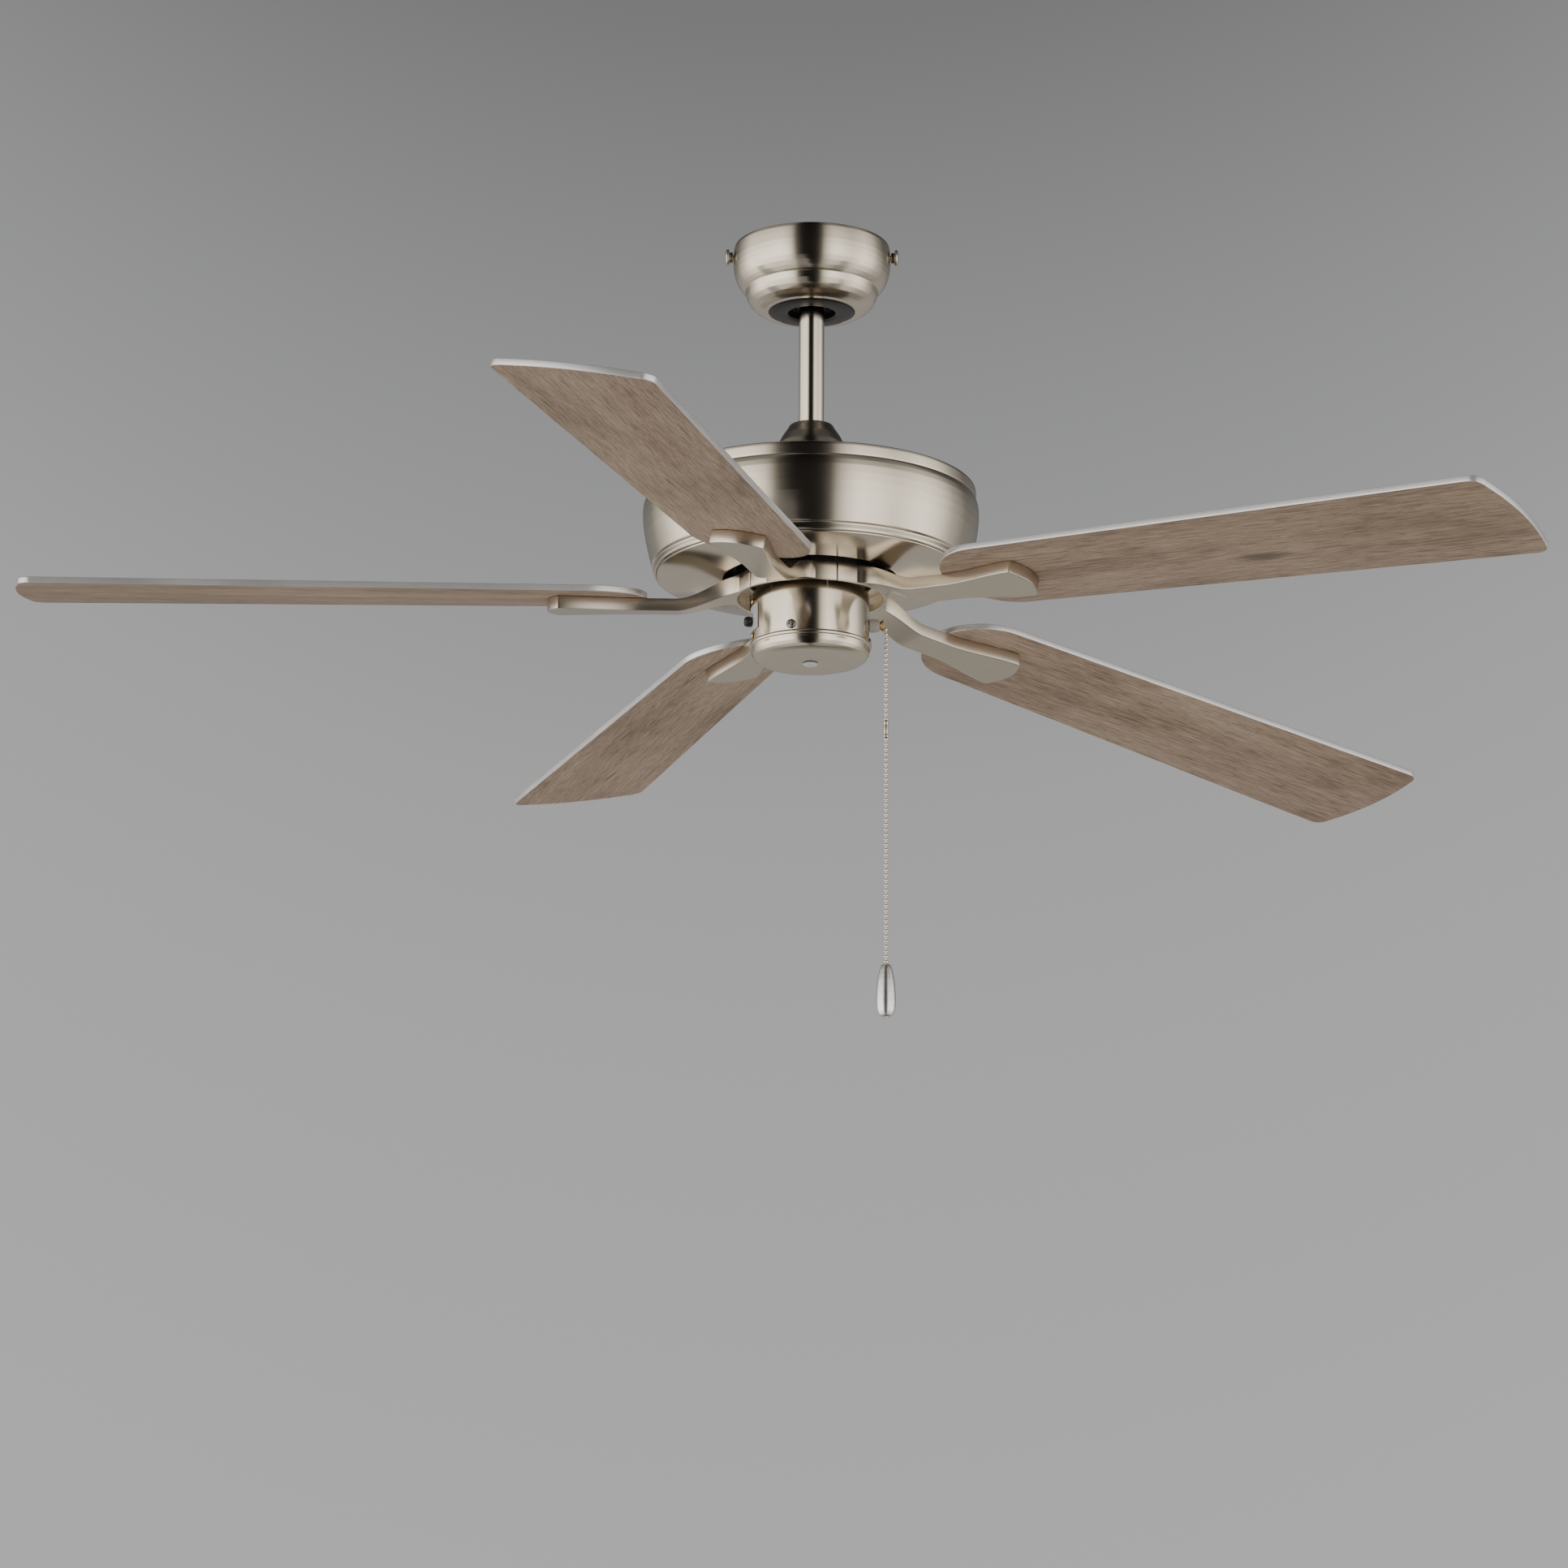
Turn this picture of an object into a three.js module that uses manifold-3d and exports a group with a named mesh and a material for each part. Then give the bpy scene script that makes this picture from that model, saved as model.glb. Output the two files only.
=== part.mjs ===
// A five-blade ceiling fan that hangs on a short downrod, with a pull chain and no lamp.
// Millimetres, +Z up. The origin is on the ceiling, where the hanger bracket bears on it.
import * as THREE from 'three';
import { mergeVertices } from 'three/addons/utils/BufferGeometryUtils.js';
import Module from 'manifold-3d';

const wasm = await Module();
wasm.setup();

// ---- Driving dimensions ----
const GAP = 0.3; // clearance kept between pieces that touch
const WALL = 1.4; // spun and pressed sheet metal
const FINE = 28; // sides of the large turned pieces
const MEDIUM = 20; // sides of the small turned pieces
const COARSE = 12; // sides of pins and screws

const CANOPY_R = 66.5;
const CANOPY_FLOOR_Z = -55.4;
const THUMB_SCREW_Z = -8.5;
const RING_HOLE_R = 19.7;
const RING_R = 36;

const BALL_Z = -38;
const BALL_R = 20;
const BALL_PIN_Z = -32;
const SEAT_TOP_Z = -47.9;
const SEAT_HOLE_R = 17.8;

const ROD_R = 10.65;
const ROD_BORE_R = 8.6;
const ROD_FOOT_Z = -198;
const YOKE_R = 16;
const YOKE_TOP_Z = -175;
const YOKE_FOOT_Z = -206;
const YOKE_PIN_Z = -186;
const PIN_R = 3;
const COVER_FOOT_Z = -202.8;

const HOUSING_TOP_Z = -203.2;
const OPENING_R = 73.4;
const OPENING_Z = -294.8;
const VENT_COUNT = 14;

const SHAFT_R = 8;
const SHAFT_BORE_R = 5;
const SHAFT_TOP_Z = -199.5;
const SHAFT_FOOT_Z = -318;
const ROTOR_R = 80;
const STATOR_R = 72;
const STATOR_TEETH = 18;

const HUB_R = 63.9;
const HUB_BORE_R = 51.6;
const HUB_TOP_Z = -295.8;
const HUB_FOOT_Z = -311.8;

const HUB_WALL = 2.6;
const HUB_FLANGE = 3;

const BLADE_COUNT = 5;
// How each blade sits once its screws are tight: degrees of droop and pitch, and millimetres up.
const BLADE_SET = [
  { turn: 0.6, droop: 6.5, pitch: 8.4, lift: 5.9 },
  { turn: -0.4, droop: 1.55, pitch: 10.5, lift: 1.8 },
  { turn: -0.1, droop: 0.2, pitch: 9.2, lift: -1.9 },
  { turn: 0.3, droop: 1.6, pitch: 10.6, lift: 0.1 },
  { turn: -0.3, droop: 3.7, pitch: 11, lift: 1.4 },
];
const FIRST_BLADE_ANGLE = THREE.MathUtils.degToRad(38);
const HUB_SEAM = 0.6;
const BLADE_TIP_R = 660.4; // half of a 52 inch sweep
const BLADE_ROOT_R = 136.5;
const BLADE_TIP_WIDTH = 128;
const BLADE_ROOT_WIDTH = 101.5;
const BLADE_TIP_CORNER = 11.7;
const BLADE_TIP_CROWN = 9;
const BLADE_THICK = 5.5;
const BLADE_UNDERSIDE_Z = -310.6; // on the fan's axis, before pitch and droop
const PADDLE_THICK = 10.5;
const PADDLE_END_R = 211;
const PADDLE_END_CROWN = 8.5;

const DRUM_R = 48.9;
const DRUM_WALL = 1.2;
const DRUM_TOP_Z = -308;
const DRUM_FOOT_Z = -350.4;
const CAP_CENTRE_Z = -366.4;
const CAP_HOLE_R = 5.2;
const DRUM_SCREW_Z = -345.7;
const DRUM_SCREW_ANGLES = [250.7, 10.7, 130.7].map(THREE.MathUtils.degToRad);

const REVERSE_ANGLE = THREE.MathUtils.degToRad(192.5);
const REVERSE_PLATE_TOP_Z = -320.5;
const REVERSE_PLATE_FOOT_Z = -342;
const KNOB_Z = -334;
const KNOB_TRAVEL = 5.5;
const KNOB_STEM = 3.6;

const CHAIN_Z = -333.7; // axis of the bushing that the chain comes out of
const CHAIN_R = 1.6;
const CHAIN_START_X = 58;
const CHAIN_BEND_R = 5;
const CHAIN_FOOT_Z = -622.2;
const CONNECTOR_TOP_Z = -416;
const CONNECTOR_LENGTH = 14;
const FOB_TOP_Z = CHAIN_FOOT_Z - GAP;

// ---- Finishes ----
const finish = (color, roughness, metalness) => ({ color, roughness, metalness });
const NICKEL = finish(0xb9b1a6, 0.3, 1);
const DARK_NICKEL = finish(0x8f877c, 0.32, 1);
const OAK = finish(0x8a7967, 0.6, 0);
const STEEL = finish(0x9a9c9e, 0.45, 1);
const ZINC = finish(0xb5b8ba, 0.4, 1);
const CHROME = finish(0xd8d6d0, 0.15, 1);
const BRASS = finish(0xb8955a, 0.3, 1);
const COPPER = finish(0xa8632f, 0.4, 1);
const IRON = finish(0x55504b, 0.6, 0.8);
const BLACK_PAINT = finish(0x1b1b1c, 0.5, 0.3);
const BLACK_PLASTIC = finish(0x151515, 0.45, 0);
const PALE_PLASTIC = finish(0xc9c4ba, 0.5, 0);

// ---- Helpers ----
function volumeOf(geometry) {
  const position = geometry.getAttribute('position');
  const index = geometry.index.array;
  const [a, b, c] = [0, 1, 2].map(() => new THREE.Vector3());
  let total = 0;
  for (let i = 0; i < index.length; i += 3) {
    a.fromBufferAttribute(position, index[i]);
    b.fromBufferAttribute(position, index[i + 1]);
    c.fromBufferAttribute(position, index[i + 2]);
    total += a.dot(b.cross(c)) / 6;
  }
  return total;
}

// Welds the shared vertices, drops triangles with no area and turns every face outwards.
function closed(geometry) {
  geometry.deleteAttribute('normal');
  geometry.deleteAttribute('uv');
  const welded = mergeVertices(geometry, 1e-4);
  const index = welded.index.array;
  const kept = [];
  for (let i = 0; i < index.length; i += 3) {
    const [a, b, c] = [index[i], index[i + 1], index[i + 2]];
    if (a !== b && b !== c && c !== a) kept.push(a, b, c);
  }
  welded.setIndex(kept);
  if (volumeOf(welded) < 0) {
    for (let i = 0; i < kept.length; i += 3) [kept[i], kept[i + 1]] = [kept[i + 1], kept[i]];
    welded.setIndex(kept);
  }
  return welded;
}

function toSolid(geometry) {
  const mesh = closed(geometry);
  return new wasm.Manifold(new wasm.Mesh({
    numProp: 3,
    vertProperties: new Float32Array(mesh.getAttribute('position').array),
    triVerts: new Uint32Array(mesh.index.array),
  }));
}

function toGeometry(solid) {
  const mesh = solid.getMesh();
  const geometry = new THREE.BufferGeometry();
  geometry.setAttribute('position', new THREE.BufferAttribute(new Float32Array(mesh.vertProperties), 3));
  geometry.setIndex(new THREE.BufferAttribute(new Uint32Array(mesh.triVerts), 1));
  return geometry;
}

function cut(geometry, ...tools) {
  return toGeometry(tools.reduce((solid, tool) => solid.subtract(toSolid(tool)), toSolid(geometry)));
}

function join(geometry, ...others) {
  return toGeometry(others.reduce((solid, other) => solid.add(toSolid(other)), toSolid(geometry)));
}

// A turned piece about Z: the profile is a list of [radius, height].
function turned(profile, sides = MEDIUM) {
  const points = profile.map(([radius, height]) => new THREE.Vector2(radius, height));
  if (profile[0][0] > 0) points.push(points[0].clone());
  return new THREE.LatheGeometry(points, sides).rotateX(Math.PI / 2);
}

// The same, about the line that points away from the axis at an angle: [radius, distance out].
function turnedOutwards(profile, angle, height, sides = COARSE) {
  return turned(profile, sides).rotateY(Math.PI / 2).rotateZ(angle).translate(0, 0, height);
}

function ringOf(outer, inner, top, foot, sides = MEDIUM) {
  return turned([[outer, top], [outer, foot], [inner, foot], [inner, top]], sides);
}

function box(x0, x1, y0, y1, z0, z1) {
  return new THREE.BoxGeometry(x1 - x0, y1 - y0, z1 - z0)
    .translate((x0 + x1) / 2, (y0 + y1) / 2, (z0 + z1) / 2);
}

// A round bar across the axis, along Y.
function crossBar(radius, length, height, sides = COARSE) {
  return new THREE.CylinderGeometry(radius, radius, length, sides).translate(0, 0, height);
}

// A piece of ring between two angles, from foot to top.
function sector(outer, inner, start, end, foot, top, segments) {
  const shape = new THREE.Shape();
  shape.absarc(0, 0, outer, start, end, false);
  shape.absarc(0, 0, inner, end, start, true);
  shape.closePath();
  return new THREE.ExtrudeGeometry(shape, { depth: top - foot, bevelEnabled: false, curveSegments: segments })
    .translate(0, 0, foot);
}

// A sheet shell: its outer line, then its inner line, both from top to foot.
function shell(outer, inner, sides) {
  return turned([...outer, ...inner.toReversed()], sides);
}

// ---- What is fixed to the ceiling ----
function hangerBracket() {
  const plate = box(-62.2, 62.2, -15, 15, -2.5, 0);
  const tabs = [-1, 1].map((side) => box(side > 0 ? 59.7 : -62.2, side > 0 ? 62.2 : -59.7, -8, 8, -15, -2));
  const straps = [-1, 1].map((side) => box(side > 0 ? 28 : -30.5, side > 0 ? 30.5 : -28, -13, 13, -50, -2));
  const seat = box(-30.5, 30.5, -20, 20, SEAT_TOP_Z - 2.5, SEAT_TOP_Z);
  const body = join(plate, ...tabs, ...straps, seat);
  const seatHole = turned([[0, -45], [SEAT_HOLE_R, -45], [SEAT_HOLE_R, -55], [0, -55]]);
  const screwHoles = [-44, 44].map(
    (x) => turned([[0, 2], [2.8, 2], [2.8, -6], [0, -6]], COARSE).translate(x, 0, 0),
  );
  const wireHoles = [-22, 22].map(
    (x) => turned([[0, 2], [6, 2], [6, -6], [0, -6]], COARSE).translate(x, 0, 0),
  );
  const sideHole = turnedOutwards([[0, -80], [2.6, -80], [2.6, 80], [0, 80]], 0, THUMB_SCREW_Z);
  return cut(body, seatHole, sideHole, ...wireHoles, ...screwHoles);
}

function bracketScrew(x) {
  return turned([[0, -0.1], [2.4, -0.1], [2.4, -2.8], [5.5, -2.8], [4.8, -4.8], [3, -5.8], [0, -6]], COARSE)
    .translate(x, 0, 0);
}

function canopy() {
  const body = shell([
    [CANOPY_R - 0.8, -0.3], [CANOPY_R, -14], [65.5, -25], [61.5, -33], [55.5, -38.5], [53.8, -45.5],
    [48, -52.5], [40, -56.5], [RING_R + 0.5, -57.3], [RING_R + 0.5, CANOPY_FLOOR_Z], [28, CANOPY_FLOOR_Z],
  ], [
    [CANOPY_R - 2.2, -0.3], [CANOPY_R - 1.5, -14], [64, -24.6], [60.3, -32], [54.2, -37.4], [52.3, -44.8],
    [46.8, -51.1], [40, -54.6], [28, -54.2],
  ], FINE);
  return cut(body, turnedOutwards([[0, -80], [2.6, -80], [2.6, 80], [0, 80]], 0, THUMB_SCREW_Z));
}

function canopyRing() {
  const top = CANOPY_FLOOR_Z - GAP;
  return turned([
    [RING_R, top], [RING_R, -57.4], [30, -58.8], [22, -59], [RING_HOLE_R, -58.2], [RING_HOLE_R, top],
  ]);
}

function thumbScrew(angle) {
  return turnedOutwards([
    [0, 58.5], [2.2, 58.5], [2.2, 67.1], [4.6, 67.1], [4.6, 70.2], [7.2, 70.6], [7.2, 72.4], [5.4, 73.3],
    [0, 73.5],
  ], angle, THUMB_SCREW_Z);
}

// ---- What hangs on the ball ----
function hangerBall() {
  const bore = ROD_R + GAP;
  const top = 14;
  const from = Math.asin(top / BALL_R);
  const to = -Math.acos(bore / BALL_R);
  const steps = 8;
  const profile = [[bore, BALL_Z + top]];
  for (let i = 0; i <= steps; i += 1) {
    const angle = from + ((to - from) * i) / steps;
    profile.push([BALL_R * Math.cos(angle), BALL_Z + BALL_R * Math.sin(angle)]);
  }
  profile[profile.length - 1][0] = bore;
  return cut(turned(profile), crossBar(PIN_R + GAP, 60, BALL_PIN_Z));
}

function downrod() {
  const tube = ringOf(ROD_R, ROD_BORE_R, BALL_Z + 14, ROD_FOOT_Z);
  return cut(tube, crossBar(PIN_R + GAP, 40, BALL_PIN_Z), crossBar(PIN_R + GAP, 40, YOKE_PIN_Z));
}

function couplingCover() {
  return shell([
    [11.3, -158.9], [18, -159.2], [19, -161], [24.4, -168.6], [28.4, -176], [30.4, -184], [31, COVER_FOOT_Z],
  ], [
    [11.3, -160.6], [17.2, -160.9], [18, -162.6], [23, -169.6], [27, -176.8], [28.9, -184.4],
    [29.5, COVER_FOOT_Z],
  ], MEDIUM);
}

function motorYoke() {
  const body = turned([
    [YOKE_R, YOKE_TOP_Z], [YOKE_R, YOKE_FOOT_Z], [SHAFT_R + GAP, YOKE_FOOT_Z],
    [SHAFT_R + GAP, ROD_FOOT_Z - GAP], [ROD_R + GAP, ROD_FOOT_Z - GAP], [ROD_R + GAP, YOKE_TOP_Z],
  ]);
  return cut(body, crossBar(PIN_R + GAP, 60, YOKE_PIN_Z));
}

function motorShaft() {
  return ringOf(SHAFT_R, SHAFT_BORE_R, SHAFT_TOP_Z, SHAFT_FOOT_Z, COARSE);
}

function statorCore() {
  const shape = new THREE.Shape();
  const step = (Math.PI * 2) / STATOR_TEETH;
  for (let i = 0; i < STATOR_TEETH; i += 1) {
    for (const [turn, radius] of [[0.06, STATOR_R], [0.78, STATOR_R], [0.82, 66], [1.02, 66]]) {
      const angle = (i + turn) * step;
      const place = [radius * Math.cos(angle), radius * Math.sin(angle)];
      if (i === 0 && turn === 0.06) shape.moveTo(...place);
      else shape.lineTo(...place);
    }
  }
  const hole = new THREE.Path();
  hole.absarc(0, 0, SHAFT_R + GAP, 0, Math.PI * 2, true);
  shape.holes.push(hole);
  return new THREE.ExtrudeGeometry(shape, { depth: 14, bevelEnabled: false, curveSegments: 8 })
    .translate(0, 0, -264);
}

function windings(top, foot) {
  const middle = (top + foot) / 2;
  return turned([
    [54, top], [57.5, middle + 2.4], [57.5, middle - 2.4], [54, foot], [40, foot], [36.5, middle - 2.4],
    [36.5, middle + 2.4], [40, top],
  ]);
}

function bearing(top, foot) {
  return ringOf(14.7, SHAFT_R + GAP, top, foot);
}

function housingTop() {
  const outer = [[134, -223.6], [126, -219.6], [62, -206.2], [YOKE_R + GAP, HOUSING_TOP_Z]];
  const inner = outer.map(([radius, height]) => [radius, height - WALL]);
  const sheet = shell(outer, inner, FINE);
  const slots = [];
  for (let i = 0; i < VENT_COUNT; i += 1) {
    slots.push(box(66, 112, -2.8, 2.8, -225, -195).rotateZ(((i + 0.5) * Math.PI * 2) / VENT_COUNT));
  }
  return cut(sheet, ...slots);
}

function housingBand() {
  return shell([
    [134.9, -220.4], [136.2, -218.9], [138.4, -220.8], [138, -227.6], [139.8, -231.4], [140.8, -239],
    [140.5, -249], [138.9, -260], [134.2, -278.4], [131.4, -284], [130.9, -290],
  ], [
    [134.9, -223.6], [136.6, -229], [139, -239], [138.7, -249], [137.2, -260], [132.6, -278], [129.6, -284],
    [129.2, -290],
  ], FINE);
}

function housingBottom() {
  return turned([
    [128.8, -290.6], [OPENING_R, OPENING_Z], [OPENING_R, OPENING_Z + 1.2], [128.8, -289.4],
  ], FINE);
}

// ---- The outer rotor ----
function rotorTop() {
  return turned([
    [15, -226], [22, -226], [24, -233.6], [74, -233.6], [ROTOR_R, -235.4], [ROTOR_R, -236.7], [15, -236.7],
  ]);
}

function rotorRing() {
  return ringOf(ROTOR_R, 74, -237, -276);
}

function rotorBottom() {
  return turned([
    [15, -284], [24, -284], [26, -291.4], [55, -291.4], [58, -276.3], [ROTOR_R, -276.3], [ROTOR_R, -279],
    [62.4, -282.6], [62, -295.3], [15, -295.3],
  ]);
}

// ---- Blades and their irons ----
// From the blade's own flat frame (X out along the blade, Y across it, Z = 0 its underside) to
// its place at angle zero: pitched so that its leading edge is low, drooped outwards, lowered.
function bladePlace({ turn, droop, pitch, lift }) {
  return new THREE.Matrix4().makeRotationZ(THREE.MathUtils.degToRad(turn))
    .multiply(new THREE.Matrix4().makeTranslation(0, 0, BLADE_UNDERSIDE_Z + lift))
    .multiply(new THREE.Matrix4().makeRotationY(THREE.MathUtils.degToRad(droop)))
    .multiply(new THREE.Matrix4().makeRotationX(-THREE.MathUtils.degToRad(pitch)));
}

function blade(set) {
  const shape = new THREE.Shape();
  const root = BLADE_ROOT_WIDTH / 2;
  const tip = BLADE_TIP_WIDTH / 2;
  const corner = BLADE_TIP_CORNER;
  const shoulder = BLADE_TIP_R - BLADE_TIP_CROWN;
  const flank = BLADE_ROOT_R + root;
  shape.moveTo(flank, -root);
  shape.lineTo(shoulder - corner, -tip);
  shape.quadraticCurveTo(shoulder, -tip, shoulder + 1, -tip + corner);
  shape.quadraticCurveTo(BLADE_TIP_R + BLADE_TIP_CROWN - 1, 0, shoulder + 1, tip - corner);
  shape.quadraticCurveTo(shoulder, tip, shoulder - corner, tip);
  shape.lineTo(flank, root);
  shape.absellipse(flank, 0, root, root, Math.PI / 2, (Math.PI * 3) / 2, false, 0);
  shape.closePath();
  return new THREE.ExtrudeGeometry(shape, { depth: BLADE_THICK, bevelEnabled: false, curveSegments: 10 })
    .applyMatrix4(bladePlace(set));
}

const smooth = (value, from, to) => THREE.MathUtils.smoothstep(value, from, to);

// The arm and paddle: a subdivided bar whose cross-section is led from the level hub,
// down an S-shaped arm with a twist, to the pitched paddle under the blade.
function ironArm(set) {
  const bar = new THREE.BoxGeometry(1, 2, 1, 12, 4, 1).translate(0.5, 0, 0.5);
  const position = bar.getAttribute('position');
  const place = bladePlace(set);
  const inside = HUB_R - HUB_WALL / 2;
  const point = new THREE.Vector3();
  for (let i = 0; i < position.count; i += 1) {
    const across = position.getY(i);
    const raised = position.getZ(i);
    const start = Math.sqrt(inside * inside - (across * 20) ** 2);
    const end = PADDLE_END_R + PADDLE_END_CROWN * (1 - across * across);
    const out = start + (end - start) * position.getX(i);
    const flare = 7 * (1 - smooth(out, 60, 82));
    const half = 13.5 + flare + 10 * smooth(out, 118, PADDLE_END_R + 12);
    const side = across * half - 1.4 * smooth(out, 60, 90);
    point.set(out, side, -PADDLE_THICK - GAP + raised * PADDLE_THICK).applyMatrix4(place);
    const level = HUB_FOOT_Z + 0.2 + raised * (HUB_TOP_Z - HUB_FOOT_Z - 0.4);
    const weight = smooth(out, 60, 108);
    position.setXYZ(
      i,
      THREE.MathUtils.lerp(out, point.x, weight),
      THREE.MathUtils.lerp(side, point.y, weight),
      THREE.MathUtils.lerp(level, point.z, weight),
    );
  }
  return bar;
}

// One casting: a fifth of the hub's thin ring, the flange that bolts to the rotor, and the arm.
function bladeIron(set) {
  const half = Math.PI / BLADE_COUNT - HUB_SEAM / 2 / (HUB_BORE_R + 1);
  const wall = sector(HUB_R, HUB_R - HUB_WALL, -half, half, HUB_FOOT_Z, HUB_TOP_Z, 7);
  const flange = sector(HUB_R - 1, HUB_BORE_R, -half, half, HUB_TOP_Z - HUB_FLANGE, HUB_TOP_Z - 0.1, 7);
  return join(wall, flange, ironArm(set));
}

// ---- The switch housing and what is in it ----
function switchDrum() {
  const wall = ringOf(DRUM_R, DRUM_R - DRUM_WALL, DRUM_TOP_Z, DRUM_FOOT_Z, FINE);
  const chainHole = turnedOutwards([[0, 30], [4.6, 30], [4.6, 60], [0, 60]], 0, CHAIN_Z);
  const slotTop = KNOB_Z + KNOB_TRAVEL + KNOB_STEM / 2 + 1;
  const slot = box(30, 60, -3, 3, KNOB_Z - KNOB_STEM / 2 - 1, slotTop).rotateZ(REVERSE_ANGLE);
  const screwHoles = DRUM_SCREW_ANGLES.map(
    (angle) => turnedOutwards([[0, 30], [2.1, 30], [2.1, 60], [0, 60]], angle, DRUM_SCREW_Z),
  );
  return cut(wall, chainHole, slot, ...screwHoles);
}

function mountingPlate() {
  return ringOf(DRUM_R - DRUM_WALL - GAP, SHAFT_R + GAP, -309, -311.2);
}

function switchCap() {
  return turned([
    [48.9, -350.7], [51.1, -351.5], [51.1, -353.9], [49.7, -355.2], [49.1, -358.6], [46.9, -362.8],
    [43, -365.2], [26, -366.3], [CAP_HOLE_R, CAP_CENTRE_Z], [CAP_HOLE_R, CAP_CENTRE_Z + 1.2], [26, -365],
    [42.2, -363.8], [46, -361.4], [47.8, -357], [47.8, -350.7],
  ], FINE);
}

function capPlug() {
  const seat = CAP_CENTRE_Z - GAP;
  return turned([
    [0, seat + 4], [CAP_HOLE_R - GAP, seat + 4], [CAP_HOLE_R - GAP, seat], [6, seat], [6, seat - 0.8],
    [4.6, seat - 1.7], [0, seat - 2],
  ], COARSE);
}

function drumScrew(angle) {
  return turnedOutwards([
    [0, 42], [1.7, 42], [1.7, DRUM_R + GAP], [4, DRUM_R + GAP], [3.9, DRUM_R + 1.3], [2.6, DRUM_R + 2.3],
    [0, DRUM_R + 2.6],
  ], angle, DRUM_SCREW_Z);
}

function runCapacitor() {
  return box(-19, 19, 20, 37, -341, -316);
}

function speedSwitch() {
  return box(20, 44, -11, 11, -344, -323);
}

function chainBushing() {
  return turnedOutwards([
    [2.6, 44.3], [4.2, 44.3], [4.2, DRUM_R + GAP], [5.4, DRUM_R + GAP], [5.7, DRUM_R + 1.5], [5.7, 56.6],
    [5.1, 57.6], [2.6, 57.6],
  ], 0, CHAIN_Z);
}

function chainMouth() {
  return turnedOutwards([
    [2.3, 57.9], [3.6, 57.9], [3.9, 59], [5.1, 60.6], [4.4, 60.8], [3.1, 59.3],
  ], 0, CHAIN_Z);
}

function reverseBody() {
  return box(34, 45.8, -8.5, 8.5, -342, -321).rotateZ(REVERSE_ANGLE);
}

function reversePlate() {
  const half = 12.5 / DRUM_R;
  const plate = sector(
    DRUM_R + GAP + 0.8, DRUM_R + GAP, REVERSE_ANGLE - half, REVERSE_ANGLE + half,
    REVERSE_PLATE_FOOT_Z, REVERSE_PLATE_TOP_Z, 6,
  );
  const slotTop = KNOB_Z + KNOB_TRAVEL + KNOB_STEM / 2 + 0.6;
  return cut(plate, box(40, 60, -2.4, 2.4, KNOB_Z - KNOB_STEM / 2 - 0.6, slotTop).rotateZ(REVERSE_ANGLE));
}

function reverseScrew(height) {
  return turnedOutwards([
    [0, DRUM_R + GAP], [2.5, DRUM_R + GAP], [2.4, DRUM_R + 1.2], [1.4, DRUM_R + 1.9], [0, DRUM_R + 2.1],
  ], REVERSE_ANGLE, height);
}

function reverseKnob() {
  const head = turnedOutwards([
    [0, 50.4], [4.1, 50.4], [4.3, 51.2], [4.2, 54.6], [3.2, 56.2], [0, 56.8],
  ], REVERSE_ANGLE, KNOB_Z);
  const stem = box(46.2, 51, -KNOB_STEM / 2, KNOB_STEM / 2, KNOB_Z - KNOB_STEM / 2, KNOB_Z + KNOB_STEM / 2);
  return join(head, stem.rotateZ(REVERSE_ANGLE));
}

// ---- The pull chain ----
function pullChain() {
  const hangX = CHAIN_START_X + CHAIN_BEND_R;
  const path = new THREE.CurvePath();
  const points = [];
  for (let i = 0; i <= 6; i += 1) {
    const angle = (i / 6) * (Math.PI / 2);
    points.push(new THREE.Vector3(
      CHAIN_START_X + CHAIN_BEND_R * Math.sin(angle), 0, CHAIN_Z - CHAIN_BEND_R * (1 - Math.cos(angle)),
    ));
  }
  points.push(new THREE.Vector3(hangX, 0, -370));
  points.push(new THREE.Vector3(hangX, 0, CONNECTOR_TOP_Z));
  points.push(new THREE.Vector3(hangX, 0, -520));
  points.push(new THREE.Vector3(hangX, 0, CHAIN_FOOT_Z));
  for (let i = 1; i < points.length; i += 1) path.add(new THREE.LineCurve3(points[i - 1], points[i]));
  const circle = new THREE.Shape();
  circle.absarc(0, 0, CHAIN_R, 0, Math.PI * 2, false);
  return new THREE.ExtrudeGeometry(circle, {
    steps: 44, curveSegments: 4, bevelEnabled: false, extrudePath: new THREE.CatmullRomCurve3(points),
  });
}

function chainConnector() {
  const x = CHAIN_START_X + CHAIN_BEND_R;
  const foot = CONNECTOR_TOP_Z - CONNECTOR_LENGTH;
  return ringOf(2.8, CHAIN_R + GAP, CONNECTOR_TOP_Z, foot, 12).translate(x, 0, 0);
}

function chainFob() {
  const x = CHAIN_START_X + CHAIN_BEND_R;
  return turned([
    [0, FOB_TOP_Z], [2.4, FOB_TOP_Z], [4.3, -624.6], [5.5, -629], [7, -636.6], [8, -647], [8.2, -654.5],
    [7.1, -662.8], [4.6, -666.6], [0, -667.2],
  ], COARSE).translate(x, 0, 0);
}

// ---- Assembly ----
const fan = new THREE.Group();

function place(parent, name, geometry, look) {
  const mesh = new THREE.Mesh(closed(geometry), new THREE.MeshStandardMaterial(look));
  mesh.name = name;
  parent.add(mesh);
  return mesh;
}

const ceilingMount = new THREE.Group();
place(ceilingMount, 'hanger_bracket', hangerBracket(), ZINC);
place(ceilingMount, 'bracket_screw_1', bracketScrew(-44), STEEL);
place(ceilingMount, 'bracket_screw_2', bracketScrew(44), STEEL);
place(ceilingMount, 'canopy', canopy(), NICKEL);
place(ceilingMount, 'canopy_ring', canopyRing(), BLACK_PLASTIC);
place(ceilingMount, 'canopy_screw_left', thumbScrew(Math.PI), NICKEL);
place(ceilingMount, 'canopy_screw_right', thumbScrew(0), NICKEL);

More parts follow.
